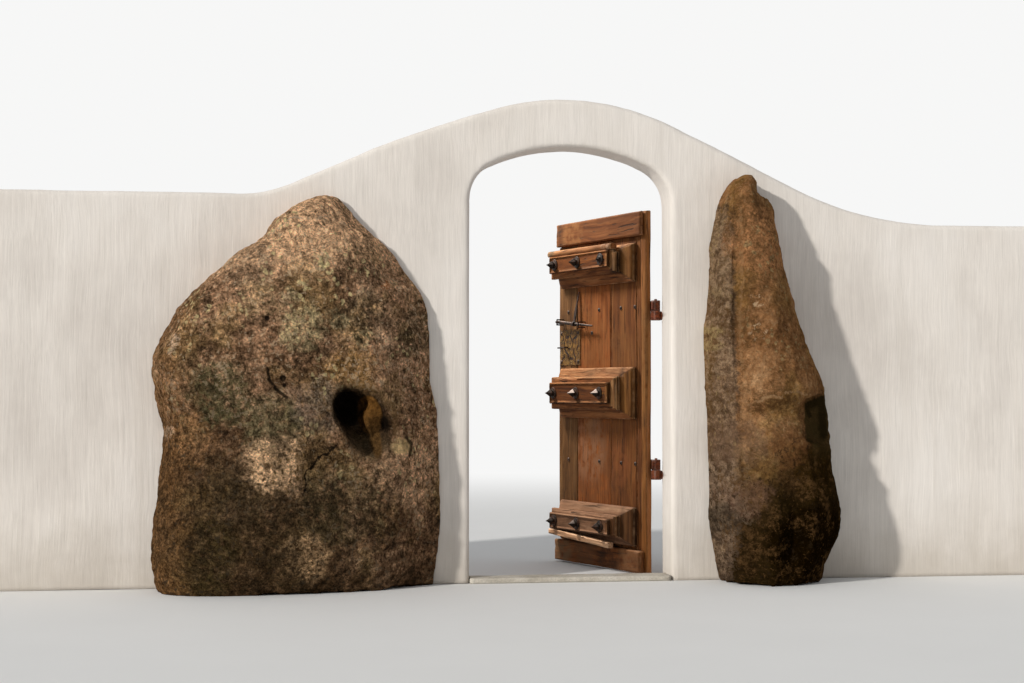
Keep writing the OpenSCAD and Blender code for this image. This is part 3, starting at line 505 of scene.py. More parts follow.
RIGHT_FRONT = (
    (0.99, 1.83, 0.17, (0.6, 0.275, 0.115), 0.75), (0.92, 1.32, 0.1, (0.26, 0.11, 0.04), 0.4),
    (1.08, 0.74, 0.12, (0.2, 0.085, 0.032), 0.5), (0.84, 0.75, 0.12, (0.19, 0.11, 0.065), 0.6),
    (0.86, 0.45, 0.1, (0.22, 0.12, 0.075), 0.5), (0.98, 2.07, 0.07, (0.2, 0.1, 0.035), 0.5))
# Painted shadow of the plants at the right boulder's foot and below its broken wedge
RIGHT_FOOT_SHADOW = (
    (1.25, 0.6, 0.14, (0.03, 0.016, 0.003), 0.75), (1.2, 0.2, 0.25, (0.008, 0.004, 0.0005), 0.93),
    (0.76, 0.35, 0.07, (0.04, 0.03, 0.02), 0.6))
RIGHT_SPECKS = ((0.925, 1.5, 0.04, (0.68, 0.47, 0.28), 0.8), (0.925, 1.335, 0.045, (0.68, 0.47, 0.28), 0.85))


def left_tints(m, at, ragged):
    """Patches of the left boulder, its orange rim and its pale top"""
    across, up = at
    m.tint((0.72, 0.435, 0.245), m.mask(m.times_plus(across, -0.1, up), 1.68, 1.96), 0.85)
    m.patches(at, LEFT_DARK, m.mask(ragged, 0.3, 0.55))
    m.patches(at, LEFT_PALE, m.mask(ragged, 0.36, 0.56))
    m.tint((0.2, 0.1, 0.04), m.mask(across, -1.94, -2.12), m.span(ragged, 0.2, 1, 0.35, 0.6), 0.7)


def left_lines(m, at, wavy, height, ragged):
    """Vein, cracks, pits, painted shade in the hole and in the crease beside its sill, and painted light on the tan
    lobe in the hole of the left boulder
    """
    x, z = at
    m.tint((0.42, 0.12, 0.03), m.spot(wavy, -1.018, 1.576, 0.026), m.mask(ragged, 0.38, 0.5), 0.7)
    vein = m.stroke(wavy, ((-1.62, 1.83), (-1.5, 1.915), (-1.4, 1.91), (-1.3, 1.93), (-1.22, 1.89)), 0.008)
    m.tint((0.6, 0.44, 0.3), vein, m.mask(ragged, 0.4, 0.52), 0.6)
    lip = m.stroke(at, ((-1.29, 0.98), (-1.2, 1.065), (-1.09, 1.05), (-0.98, 0.92), (-0.96, 0.8)), 0.03)
    m.tint((0.23, 0.135, 0.055), lip, 0.4)
    # Painted shade in the hole, darkest under its top
    painted_hole_shade = m.mix(m.mask(z, 0.68, 0.86), (0.07, 0.05, 0.026), (0.016, 0.01, 0.005))
    m.tint(painted_hole_shade, m.oval(wavy, -1.13, 0.86, 0.14, 0.19, -0.25, 0.2), 0.85)
    mottled = m.span(ragged, 0.5, 1.5, 0.35, 0.65)
    # Painted light on the tan lobe, the hole's inner wall where light falls, lighter at its top
    lit_lobe = m.most(m.oval(at, -1.1, 0.9, 0.062, 0.1, -0.12, 0.08), m.oval(at, -1.07, 0.77, 0.028, 0.09, -0.1))
    lobe_light = m.mix(m.mask(z, 0.98, 0.76), (0.2, 0.09, 0.022), (0.13, 0.068, 0.024))
    m.tint(m.shade(lobe_light, mottled), lit_lobe, 0.94)
    sill_at = (x, wavy[1])
    shelf = m.times(m.oval(sill_at, -0.935, 0.738, 0.055, 0.042), m.mask(ragged, 0.25, 0.45))
    m.tint(m.shade((0.6, 0.42, 0.2), mottled), shelf, 0.8)
    # Painted shade in the crease beside the sill
    crease = m.stroke(sill_at, ((-0.905, 0.79), (-0.878, 0.745), (-0.89, 0.69)), 0.014)
    # Painted shade deep in the hole
    inside = m.most(m.oval(at, -1.222, 0.945, 0.075, 0.11, -0.2), m.oval(at, -1.025, 0.86, 0.02, 0.045, -0.2, 0.4))
    crack = m.stroke(wavy, ((-1.63, 1.143), (-1.612, 1.08), (-1.575, 1.03), (-1.53, 0.995)), 0.011)
    long_crack = m.stroke(wavy, ((-1.27, 0.75), (-1.33, 0.705), (-1.43, 0.61), (-1.438, 0.527)), 0.008)
    side_crack = m.stroke(wavy, ((-0.88, 0.86), (-0.862, 0.72), (-0.85, 0.56), (-0.84, 0.4)), 0.006)
    bed = m.stroke(wavy, ((-1.1, 0.21), (-0.95, 0.235), (-0.74, 0.225)), 0.007)
    faint = m.times(m.most(bed, side_crack), 0.45)
    cracks = m.times(m.most(crack, long_crack, faint), m.mask(ragged, 0.3, 0.42))
    pits = m.most(*(m.spot(at, *pit) for pit in (
        (-1.547, 1.09, 0.015), (-1.627, 1.39, 0.012), (-1.54, 1.055, 0.009))))
    dark = m.most(cracks, pits)
    # Cracks and pits, with painted shade in the crease and deep in the hole, all near black
    cracks_pits_and_painted_shade = m.most(dark, m.most(m.times(crease, 0.9), inside))
    m.tint((0.01, 0.007, 0.005), cracks_pits_and_painted_shade, 0.93)
    return m.times_plus(dark, -2.5, height)


def right_tints(m, at, ragged):
    """Flaky, lichened left facet, orange brow, and painted shadow at the foot of the right boulder"""
    p = m.place()
    x, _, z = m.parts(p)
    flaky = m.span(m.noise(m.stretch(p, (1, 0.3, 0.9)), 30, 5, 0.75), -0.25, 1.25, 0.34, 0.66)
    lichened = m.ramp(m.total((flaky, 0.75), (m.mask(z, 0.2, 1.9), 0.25)), (0.2, 0.5, 0.8),
                      ((0.07, 0.048, 0.025), (0.24, 0.155, 0.078), (0.5, 0.36, 0.19)))
    torn = m.times_plus(flaky, 0.03, x)
    m.tint(lichened, m.mask(torn, 0.845, 0.82), 0.65)
    mauve = m.shade((0.19, 0.125, 0.09), m.span(flaky, 0.5, 1.6))
    m.tint(mauve, m.mask(torn, 0.745, 0.765), m.mask(torn, 0.85, 0.825), 0.5)
    m.patches((torn, z), RIGHT_FACET, m.mask(flaky, 0.2, 0.8))
    m.patches(at, RIGHT_FRONT, m.mask(ragged, 0.25, 0.55))
    m.patches(at, RIGHT_FOOT_SHADOW, m.mask(ragged, 0.05, 0.35))


def right_lines(m, at, wavy, height, ragged):
    """Pale specks; painted highlight on the ledge and the ridge, and painted shadow under the ledge, in the groove
    and in the broken wedge of the right boulder
    """
    x, z = at
    m.patches(wavy, RIGHT_SPECKS, m.mask(ragged, 0.53, 0.6))
    # Painted highlight on the lip of the ledge
    ledge_highlight = m.stroke(wavy, ((0.86, 0.93), (0.93, 0.99), (1.02, 1.0), (1.1, 1.03), (1.22, 1.0)), 0.013)
    m.tint((0.5, 0.3, 0.15), ledge_highlight, m.mask(ragged, 0.42, 0.55), 0.7)
    # Painted shadow under the ledge
    ledge_shadow = m.stroke(wavy, ((0.9, 0.93), (0.98, 0.955), (1.1, 0.985)), 0.035)
    m.tint((0.09, 0.042, 0.015), ledge_shadow, m.mask(ragged, 0.3, 0.6), 0.6)
    # Painted highlight along the ridge
    ridge = m.stroke(wavy, ((0.865, 2.0), (0.855, 1.7), (0.845, 1.4), (0.85, 1.1)), 0.012)
    m.tint((0.42, 0.24, 0.11), ridge, m.mask(ragged, 0.35, 0.6), 0.6)
    # Painted shade in the groove beside the ridge
    groove_shade = m.stroke(wavy, ((0.825, 2.03), (0.83, 1.8), (0.815, 1.5), (0.81, 1.15)), 0.014)
    groove_shade = m.times(groove_shade, m.mask(ragged, 0.3, 0.6))
    m.tint((0.05, 0.03, 0.013), groove_shade, 0.45)
    torn = torn_x, torn_z = m.times_plus(ragged, 0.05, x), m.times_plus(ragged, -0.05, z)
    # Painted shadow in the broken wedge under the brow
    in_front = m.mask(x, 1.43, 1.36)
    under_brow = m.mask(m.times_plus(torn_x, -0.3, torn_z), 0.575, 0.562)
    m.tint((0.06, 0.042, 0.015), m.mask(torn_x, 1.225, 1.24), under_brow, in_front,
                    m.mask(torn_z, 0.6, 0.78), 0.88)
    # Painted shadow in the wedge's split
    wedge_shadow = m.most(m.stroke(torn, ((1.25, 0.915), (1.28, 0.87)), 0.022),
                   m.stroke(torn, ((1.26, 0.93), (1.36, 0.95), (1.37, 0.77)), 0.05))
    m.tint((0.012, 0.008, 0.003), wedge_shadow, in_front, 0.7)
    waves = m.noise(m.stretch(m.place(), (1, 1, 2.2)), 9, 6, 0.7, 1.2)
    return m.times_plus(waves, 5, m.times_plus(groove_shade, -0.8, height))


def threshold_material():
    """Pale worn stone, lighter along its edges"""
    m = Maker("threshold_stone")
    p = m.place()
    cloud = m.noise(p, 7, 6, 0.65)
    m.colour = m.ramp(cloud, (0.3, 0.5, 0.7), ((0.36, 0.32, 0.255), (0.5, 0.455, 0.38), (0.6, 0.56, 0.49)))
    specks = m.parts(m.cells(p, 160))[0]
    m.dim(m.span(specks, 0.82, 1.1))
    m.tint((0.68, 0.64, 0.57), m.mask(m.value("wear"), 0.05, 0.3), 0.3)
    return m.done(0.85, m.bump(m.total((cloud, 2), (specks, 0.25)), 3 * MM, 0.6))


def timber_material(name, grain, tones, worn, stain, seed, spots=(), edge=0.0, lightest=0.72):
    """Old oiled wood on the leaf, its grain running along one axis of the leaf; it is redder up to edge"""
    m = Maker(name)
    leaf = m.leaf_place()
    across, _, up = m.parts(leaf)
    p = m.moved(leaf, (seed, seed * 1.7, seed * 2.3))

    def run(length, width):
        """Scales along and across the grain"""
        return tuple(length if axis == grain else width for axis in "xyz")

    sway = m.bent(p, 3.2, run(0, 0.05))
    bands = m.noise(sway, run(1.5, 26), 5, 0.62, 0.4)
    lines = m.noise(sway, run(5, 190), 3, 0.65)
    checks = m.noise(m.moved(sway, (4.4, 2.1, 9.3)), run(3, 85), 2, 0.5)
    stains = m.noise(m.moved(p, (7, 3, 1)), 4.5, 6, 0.65)
    m.colour = m.ramp(bands, (0.3, 0.5, lightest), tones)
    m.dim(m.span(lines, 0.68, 1.3))
    m.dim(m.span(checks, 1.22, 0.78, 0.32, 0.68))
    m.tint((0.045, 0.023, 0.01), m.mask(stains, 0.5, 0.68), stain)
    check = m.mask(checks, 0.635, 0.7)
    m.tint((0.018, 0.008, 0.003), check, 0.75)
    m.tint((0.42, 0.17, 0.066), m.mask(across, edge + MM, edge), 0.6)
    ragged = m.noise(p, 22, 4)
    rubbed = m.mask(m.times(m.value("wear"), m.span(ragged, 0, 1.7)), 0.3, 0.85)
    # Painted light: upward faces turned towards the worn tint
    top_light = m.times(m.value("painted_top_light"), m.span(lines, 0.1, 1, 0.35, 0.6))
    m.tint(worn, m.most(rubbed, top_light), 0.8)
    m.patches((across, up), spots, m.mask(ragged, 0.3, 0.6))
    # Dark in the mitre joints, and painted shade on faces away from the light and beside the stage above
    joint_dirt_and_painted_shade = m.times(m.value("joint_dirt_and_painted_shade"), m.span(stains, 0.6, 1.1, 0.35, 0.6))
    m.tint((0.014, 0.006, 0.002), joint_dirt_and_painted_shade, 0.85)
    height = m.total((lines, 0.7), (bands, 1.2), (check, -1.5))
    gloss = m.span(m.noise(p, 9, 3), 0.66, 0.9)
    return m.done(gloss, m.bump(height, 1.4 * MM, 0.8), specular=0.1)


def iron_material(name, tones, rust, bright):
    """Hand-forged iron: dark scale, rust in the hollows, rubbed edges, and painted highlights on the pieces given a
    facing
    """
    m = Maker(name)
    p = m.place()
    scale = m.noise(p, 70, 5, 0.65)
    patches = m.noise(m.moved(p, (3.3, 1.9, 0.7)), 24, 5, 0.7)
    m.colour = m.ramp(scale, (0.35, 0.55, 0.7), tones)
    rusty = m.times(m.mask(patches, 0.46, 0.66), rust)
    m.tint((0.1, 0.034, 0.012), rusty)
    # Edge wear, and a painted highlight on the pieces whose wear value holds a facing
    rubbed = m.mask(m.times(m.value("wear"), m.span(patches, 0.4, 1.6)), 0.3, 0.8)
    m.tint((0.78, 0.64, 0.56), rubbed, bright)
    metal = m.times(m.minus(1, rusty), 0.4 * bright)
    return m.done(m.span(scale, 0.5, 0.75), m.bump(scale, MM, 0.6), metal, 0.2)


def brass_material():
    """Old brass gone olive brown, its low relief rubbed to crooked yellow lines"""
    m = Maker("old_brass")
    p = m.leaf_place()
    tarnish = m.noise(p, 42, 5, 0.7)
    m.colour = m.ramp(tarnish, (0.34, 0.5, 0.66), ((0.02, 0.008, 0.002), (0.115, 0.047, 0.007), (0.25, 0.12, 0.021)))
    crooked = m.noise(m.stretch(p, (1.3, 1.3, 0.7)), 48, 1.5, 0.5, 1.6)
    relief = m.mask(m.math("ABSOLUTE", m.minus(crooked, 0.5)), 0.055, 0.02)
    m.tint((0.4, 0.24, 0.06), m.times(relief, m.times(m.value("wear"), 0.75)))
    height = m.times_plus(relief, 1.5, tarnish)
    return m.done(m.span(tarnish, 0.5, 0.75), m.bump(height, MM, 0.6), 0.15, 0.2)


plaster = plaster_material()
left_granite = weathered_granite(
    "granite_left", (0.2, 0.37, 0.5, 0.63, 0.8),
    ((0.075, 0.04, 0.02), (0.172, 0.093, 0.05), (0.3, 0.167, 0.092), (0.45, 0.263, 0.148), (0.67, 0.425, 0.255)),
    contrast=0.7, pale=(0.85, 0.63, 0.4), soot=(0.03, 0.02, 0.011), crust=(0.72, 0.58, 0.29),
    dark_foot=(1.35, -0.15, 0.83, 0.65, -1.45), tints=left_tints, lines=left_lines)
right_granite = weathered_granite(
    "granite_right", (0.2, 0.38, 0.52, 0.66, 0.82),
    ((0.175, 0.079, 0.029), (0.28, 0.132, 0.052), (0.37, 0.183, 0.077), (0.465, 0.247, 0.112), (0.59, 0.35, 0.176)),
    contrast=0.25, pale=(0.5, 0.3, 0.15), soot=(0.14, 0.073, 0.029), crust=(0.38, 0.26, 0.12),
    dark_foot=(1.05, 0.35, 0.97, -0.5, 1.0), tints=right_tints, lines=right_lines)
threshold_stone = threshold_material()

# Tints of rubbed wood, and patches of single boards: across the leaf, up, radius, tint, strength
WORN, BLOCK_WORN, PANEL_WORN = (0.36, 0.165, 0.07), (0.62, 0.33, 0.155), (0.5, 0.22, 0.08)
PLANK_SPOTS = (
    (0.56, 0.75, 0.16, (0.13, 0.05, 0.016), 0.6), (0.71, 0.85, 0.06, (0.2, 0.08, 0.018), 0.6),
    (0.62, 0.5, 0.2, (0.16, 0.062, 0.022), 0.5), (0.75, 1.3, 0.3, (0.25, 0.095, 0.026), 0.5),
    (0.7, 0.7, 0.2, (0.42, 0.21, 0.11), 0.35))
BROWN_SPOTS = ((0.36, 0.6, 0.12, (0.25, 0.08, 0.025), 0.5), (0.36, 1.2, 0.2, (0.2, 0.08, 0.022), 0.5))
# The two dark patches low in the middle are painted shadow of the lower block and its trim; the pale one low near the
# hinges is a painted highlight
RAIL_SPOTS_SHADE_AND_HIGHLIGHT = (
    (0.86, 1.93, 0.12, (0.34, 0.15, 0.05), 0.55), (0.42, 0.1, 0.13, (0.03, 0.013, 0.005), 0.75),
    (0.7, 0.1, 0.12, (0.1, 0.046, 0.018), 0.6), (0.2, 0.06, 0.12, (0.22, 0.105, 0.045), 0.6),
    (1.03, 2.0, 0.05, (0.05, 0.024, 0.011), 0.7), (0.97, 0.09, 0.12, (0.16, 0.1, 0.05), 0.65),
    (0.12, 0.17, 0.05, (0.4, 0.22, 0.12), 0.5))
ROLL_SPOTS = ((1.04, 1.835, 0.07, (0.13, 0.085, 0.045), 0.75), (0.37, 1.87, 0.05, (0.55, 0.37, 0.25), 0.5))
STILE_SPOTS = ((0.13, 1.2, 0.3, (0.3, 0.14, 0.045), 0.5),)

# The kinds of wood: grain, tones from dark to light, tint where it is rubbed, stain, seed, patches, red edge
WOODS = {name: timber_material(name, *look) for name, look in {
    "timber_planks": ("z", ((0.12, 0.031, 0.006), (0.235, 0.069, 0.015), (0.35, 0.12, 0.032)), WORN, 0.3, 0.0,
                      PLANK_SPOTS),
    "timber_brown": ("z", ((0.085, 0.026, 0.006), (0.17, 0.056, 0.014), (0.26, 0.102, 0.027)), WORN, 0.35, 3.1,
                     BROWN_SPOTS, STILE_EDGE),
    "timber_rails": ("x", ((0.08, 0.024, 0.007), (0.165, 0.054, 0.015), (0.25, 0.095, 0.031)), WORN, 0.35, 5.3,
                     RAIL_SPOTS_SHADE_AND_HIGHLIGHT, STILE_EDGE),
    "timber_blocks": ("x", ((0.1, 0.03, 0.008), (0.23, 0.079, 0.024), (0.38, 0.155, 0.054)), BLOCK_WORN, 0.35, 8.2),
    "block_ends": ("z", ((0.08, 0.029, 0.006), (0.19, 0.074, 0.017), (0.3, 0.135, 0.036)), BLOCK_WORN, 0.35, 4.7),
    "bleached_blocks": ("x", ((0.11, 0.05, 0.025), (0.25, 0.125, 0.066), (0.46, 0.27, 0.155)),
                        (0.37, 0.195, 0.11), 0.35, 2.9),
    "loose_timber": ("x", ((0.24, 0.12, 0.06), (0.5, 0.27, 0.145), (0.75, 0.46, 0.27)),
                     (0.85, 0.56, 0.36), 0.2, 4.1),
    "bleached_ends": ("z", ((0.05, 0.018, 0.005), (0.12, 0.047, 0.015), (0.22, 0.1, 0.038)),
                      (0.55, 0.33, 0.18), 0.4, 7.3),
    "panel_timber": ("x", ((0.045, 0.013, 0.003), (0.12, 0.037, 0.009), (0.22, 0.08, 0.021)), PANEL_WORN, 0.4, 9.4),
    "upper_panel_timber": ("x", ((0.06, 0.016, 0.003), (0.16, 0.047, 0.0085), (0.3, 0.1, 0.02)), PANEL_WORN, 0.4,
                           2.2),
    "timber_stile": ("z", ((0.1, 0.032, 0.008), (0.22, 0.079, 0.018), (0.34, 0.145, 0.04)), WORN, 0.35, 6.1,
                     STILE_SPOTS, STILE_EDGE),
    # Painted light: a brighter copy of block_ends for the mouldings' side members, where light falls on their outer
    # arris
    "lit_moulding_sides": ("z", ((0.17, 0.07, 0.02), (0.4, 0.19, 0.07), (0.62, 0.35, 0.155)), (0.8, 0.5, 0.28), 0.3, 3.3),
    "timber_roll": ("x", ((0.15, 0.052, 0.017), (0.3, 0.12, 0.042), (0.44, 0.215, 0.09)), (0.6, 0.35, 0.18), 0.3,
                    1.9, ROLL_SPOTS, 0.0, 0.7),
    "grey_planks": ("z", ((0.075, 0.032, 0.01), (0.15, 0.066, 0.022), (0.24, 0.122, 0.046)),
                    (0.22, 0.115, 0.05), 0.4, 6.6),
}.items()}
iron = iron_material("iron", ((0.01, 0.0065, 0.0045), (0.027, 0.017, 0.0115), (0.058, 0.038, 0.027)), 0.65, 0.9)
nail_iron = iron_material(
    "nail_iron", ((0.012, 0.006, 0.0035), (0.032, 0.016, 0.009), (0.066, 0.034, 0.02)), 0.4, 0.16)
rusty_iron = iron_material(
    "rusty_iron", ((0.04, 0.0095, 0.0025), (0.125, 0.026, 0.0065), (0.25, 0.055, 0.0145)), 0.5, 0.1)
brass = brass_material()


# ---------- Masonry ----------

def make_wall():
    """The five nodes of the wall as one skin, brushed uneven by hand"""
    names = ["left_wall", "left_jamb", "arch_head", "right_jamb", "right_wall"]
    bm = gathered(names)
    cut_grid(bm, (0.05, 0, 0.05), ((-JAMB_X, JAMB_X), (), (SPRING_Z,)))
    near, most_corners = 0.1 * MM, 12
    inner = [f for f in bm.faces if all(abs(abs(v.co.x) - JAMB_X) < near for v in f.verts)
             or all(abs(v.co.z - SPRING_Z) < near for v in f.verts)]
    bmesh.ops.delete(bm, geom=inner, context="FACES")
    bmesh.ops.remove_doubles(bm, verts=bm.verts, dist=near)
    # A face that runs round the bolt's socket would be drawn over its mouth by the subdivision
    bmesh.ops.triangulate(bm, faces=[f for f in bm.faces if len(f.verts) > most_corners])
    crease = bm.edges.layers.float.new("crease_edge")
    for edge in sharp_edges(bm, 45):
        edge[crease] = 1
    wall = new_object("wall_render", bm)
    with_modifier(wall, "SUBSURF", levels=1, render_levels=1)
    co, normal = surface(wall)
    reveal = (np.abs(normal[:, 0]) > 0.7) & (np.abs(co[:, 0]) < 0.6)
    swell = 3.5 * fractal(co * 2.3, 11, 3) + 1.1 * fractal(co * (14, 14, 7), 23, 2)
    arris = 1 - np.max(np.abs(normal), axis=1)
    swell -= 7 * arris * (0.5 + 0.5 * fractal(co * 5, 37, 3))
    co = pushed(co, normal, np.where(reveal, 0.35, 1) * swell)
    set_points(wall, np.clip(co, cad_low, cad_high))
    finished(wall, [plaster], "gate", names)


def make_boulder(node, material, voxel, forms, seed):
    """A boulder's skin with crags, chips and grit worked into it; a form is x, z, its reach in both and how far
    it stands out in millimetres"""
    stone = new_object(node + "_rock", joined([node]))
    with_modifier(stone, "REMESH", mode="VOXEL", voxel_size=voxel)
    with_modifier(stone, "SMOOTH", factor=0.5, iterations=14)
    low, high = [np.array(c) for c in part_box(node)]
    co, normal = surface(stone)
    crags = 9 * fractal(co * 2.6, seed, 2) + 9 * fractal(co * 6.5, seed + 5, 3)
    ridged = 1 - np.abs(fractal(co * 9, seed + 9, 3))
    depth = -1 + crags - 6 * ridged + 5 * fractal(co * 24, seed + 17, 2) + 2 * noise(co * 70, seed + 21)
    for x, z, reach_x, reach_z, out in forms:
        depth += out * np.exp(-((co[:, 0] - x) / reach_x) ** 2 - ((co[:, 2] - z) / reach_z) ** 2)
    fade = 0.03
    free = np.clip((WALL_FRONT - 4 * MM - co[:, 1]) / fade, 0, 1)
    co = np.clip(pushed(co, normal, free * depth), low, high)
    co[:, 2] = np.where(co[:, 2] < 4 * MM, 0, co[:, 2])
    behind = co[:, 1] > WALL_FRONT - 3 * MM
    co[behind, 1] = WALL_FRONT + 6 * MM
    set_points(stone, co)
    finished(stone, [material], "gate", [node])


def make_threshold():
    bm = gathered(["threshold"])
    soften(bm, 20, 3)
    cut_grid(bm, (0.025, 0.025, 0.012))
    stone = new_object("threshold_slab", bm)
    co, normal = surface(stone)
    wear = wear_of(normal)
    worn = 1 + fractal(co * 12, 5, 3) + 6 * wear * np.clip(0.3 + fractal(co * 20, 8, 2), 0, 1)
    set_points(stone, pushed(co, normal, -worn * np.clip(co[:, 2] / 0.01, 0, 1)))
    set_value(stone, "wear", wear)
    finished(stone, [threshold_stone], "gate", ["threshold"])


# ---------- Door leaf ----------

def leaf_box(node):
    """A node's lowest and highest corners in the leaf's frame"""
    co = np.array([LEAF.inverted() @ v.co for v in nodes[node].data.vertices])
    return co.min(axis=0), co.max(axis=0)


def make_board(name, bm, looks, replaced, grain="z", bevel=3.0, chip=5.0, ridge=0.8, seed=1, frame_of=None):
    """Timber with soft, chipped edges and a raised grain, worked in the leaf's frame. Where it is a mitred frame,
    frame_of is its outer and inner x, top and bottom, and its side member is of the second look"""
    soften(bm, 20, bevel)
    fine, coarse = 0.012, 0.04
    cut_grid(bm, (coarse, fine, fine) if grain == "x" else (fine, fine, coarse))
    board = new_object(name, bm)
    co, normal = surface(board)
    wear = wear_of(normal)
    run = np.array((5, 70, 70) if grain == "x" else (70, 70, 5))
    furrows = ridge * (0.8 + fractal(co * run, seed, 2))
    chips = chip * wear * np.clip(0.15 + fractal(co * run / 2, seed + 5, 3), 0, 1)
    dents = 1.2 * np.clip(fractal(co * 18, seed + 9, 2) - 0.35, 0, 1)
    co = pushed(co, normal, -(furrows + chips + dents))
    set_points(board, co)
    set_value(board, "wear", wear)
    side = dress_frame(board, co, normal, wear, *frame_of) if frame_of else None
    finished(board, [WOODS[look] for look in looks], "door", replaced, LEAF)
    if frame_of:
        board.data.polygons.foreach_set("material_index", side)


def dress_frame(board, co, normal, wear, outer, inner, tops, bottoms):
    """Painted light on the upward faces of a mitred frame, dirt in its mitre joints, and painted shade on faces
    turned to the hinges or down and in strips beside and below the stage above; gives 1 for each face of its side
    member, 0 for the others"""

    def past_mitre(p):
        """Metres that a point lies inside the side member, less than 0 outside it"""
        share = (p[:, 0] - outer) / (inner - outer)
        above = (tops[0] - p[:, 2]) / (tops[0] - tops[1])
        below = (p[:, 2] - bottoms[0]) / (bottoms[1] - bottoms[0])
        return (np.minimum(above, below) - share) * min(inner - outer, tops[0] - tops[1])

    # Painted light on the upward faces
    set_value(board, "painted_top_light", np.clip(2.6 * (normal[:, 2] - 0.12), 0, 0.8))
    # Painted shade on the faces turned towards the hinges and on the faces turned down
    painted_side_shade = np.clip(-normal[:, 0] * 2 - 0.9, 0, 1) + np.clip(-normal[:, 2] * 1.5 - 0.25, 0, 0.5) * (1 - wear)
    joint = np.exp(-(past_mitre(co) / (2.2 * MM)) ** 2) * (co[:, 0] < inner + MM)
    # Painted shadow in a strip beside the stage above, on its hinge side and below it
    around = np.maximum((inner - co[:, 0]) / (20 * MM), (bottoms[1] - co[:, 2]) / (8 * MM))
    corner = np.where(around > 0, np.exp(-around ** 2), 0) * (normal[:, 1] > 0.1)
    set_value(board, "joint_dirt_and_painted_shade", np.clip(painted_side_shade + 0.7 * joint + 0.8 * corner, 0, 1))
    return (past_mitre(np.array([p.center[:] for p in board.data.polygons])) > 0).astype(np.int32)


# Plain boards: look, slot, grain
BOARDS = {
    "hinge_stile": ("timber_stile", "timber", "z"), "top_rail": ("timber_rails", "timber", "x"),
    "bottom_rail": ("timber_rails", "timber", "x"), "plank_1": ("timber_brown", "timber", "z"),
    "plank_2": ("timber_brown", "timber", "z"), "plank_3": ("timber_planks", "timber", "z"),
    "plank_4": ("grey_planks", "grey_timber", "z"),
    "lower_block_loose_trim": ("loose_timber", "timber", "x"), "upper_block_cap": ("timber_roll", "timber", "x"),
}


def make_boards():
    for k, (node, (look, slot, grain)) in enumerate(BOARDS.items()):
        make_board(node + "_wood", gathered([node], LEAF), [look], [node], grain, seed=20 + 13 * k)


def make_tongues():
    """Loose tongues in the joints of the leaf, so that no light comes through the closed door"""
    reach, back, front = 6 * MM, 9 * MM, 17 * MM
    uprights = ["hinge_stile", "plank_1", "plank_2", "plank_3", "plank_4"]
    low, high = leaf_box("plank_1")[0], leaf_box("plank_4")[1]
    bars = [((leaf_box(a)[1][0] + leaf_box(b)[0][0]) / 2, low[2] + reach, high[2] - reach, "z")
            for a, b in zip(uprights, uprights[1:])]
    bars += [(z, low[0] + reach, high[0] - 2 * reach, "x") for z in (low[2], high[2])]
    for k, (middle, start, end, grain) in enumerate(bars):
        near, far = ((middle - reach, 0, start), (middle + reach, 0, end))
        if grain == "x":
            near, far = near[::-1], far[::-1]
        bm = lofted([ring_of(near, far, y) for y in (back, front)])
        make_board(f"leaf_tongue_{k}", bm, ["timber_brown"], [], grain, 1, 1, 0.3, seed=400 + k)


# Profile of a block's second stage from the base outwards: share of its thickness, then millimetres inwards
MOULDING = ((0, 0), (0.22, 0), (0.26, 2.2), (0.34, 3.0), (0.42, 2.2), (0.46, 0.4), (0.62, 0), (0.74, 1.2),
            (0.84, 3.6), (0.9, 6.5), (0.93, 9.5), (1, 9.8))
# Share of a block's first stage that is upright before it slopes in to the second
BASE_RIM = 0.6
# Looks of each block's three stages: long members, then side member
BLOCKS = {
    "upper": (("timber_blocks", "block_ends"), ("timber_blocks", "lit_moulding_sides"),
              ("upper_panel_timber", "block_ends")),
    "middle": (("timber_blocks", "block_ends"), ("timber_blocks", "lit_moulding_sides"), ("panel_timber", "block_ends")),
    "lower": (("bleached_blocks", "bleached_ends"),) * 3,
}


def make_blocks():
    """Each block's three stages, framed up with mitred side members"""
    for k, (block, (base_looks, moulding_looks, panel_looks)) in enumerate(BLOCKS.items()):
        base, moulding, panel = [f"{block}_block_{stage}" for stage in ("base", "moulding", "panel")]
        (low, high), (mid_low, mid_high), (top_low, top_high) = [leaf_box(node) for node in (base, moulding, panel)]
        rim = low[1] + BASE_RIM * (high[1] - low[1])
        inner = (high[0], mid_high[1], mid_high[2])
        bm = lofted([ring_of(low, high, low[1]), ring_of(low, high, rim), ring_of(mid_low, inner, high[1])])
        make_board(base + "_wood", bm, base_looks, [base], "x", 4, 4, seed=300 + k, frame_of=(
            low[0], mid_low[0], (high[2], mid_high[2]), (low[2], mid_low[2])))
        if block == "upper":
            bevel, bm = 3, gathered([moulding], LEAF)
        else:
            thick = mid_high[1] - mid_low[1]
            bevel, bm = 1.2, lofted([ring_of(mid_low, mid_high, mid_low[1] + share * thick, inset * MM)
                                     for share, inset in MOULDING])
        make_board(moulding + "_wood", bm, moulding_looks, [moulding], "x", bevel, 4, seed=311 + 7 * k,
                   frame_of=(mid_low[0], top_low[0], (mid_high[2] + MM, min(mid_high[2], top_high[2])),
                             (mid_low[2], top_low[2])))
        make_board(panel + "_wood", gathered([panel], LEAF), panel_looks, [panel], "x", 1.6, 4,
                   seed=330 + k, frame_of=(top_low[0], top_low[0] + PANEL_RIM, (top_high[2], top_high[2] - PANEL_RIM),
                                           (top_low[2], top_low[2] + PANEL_RIM)))


# ---------- Ironwork ----------

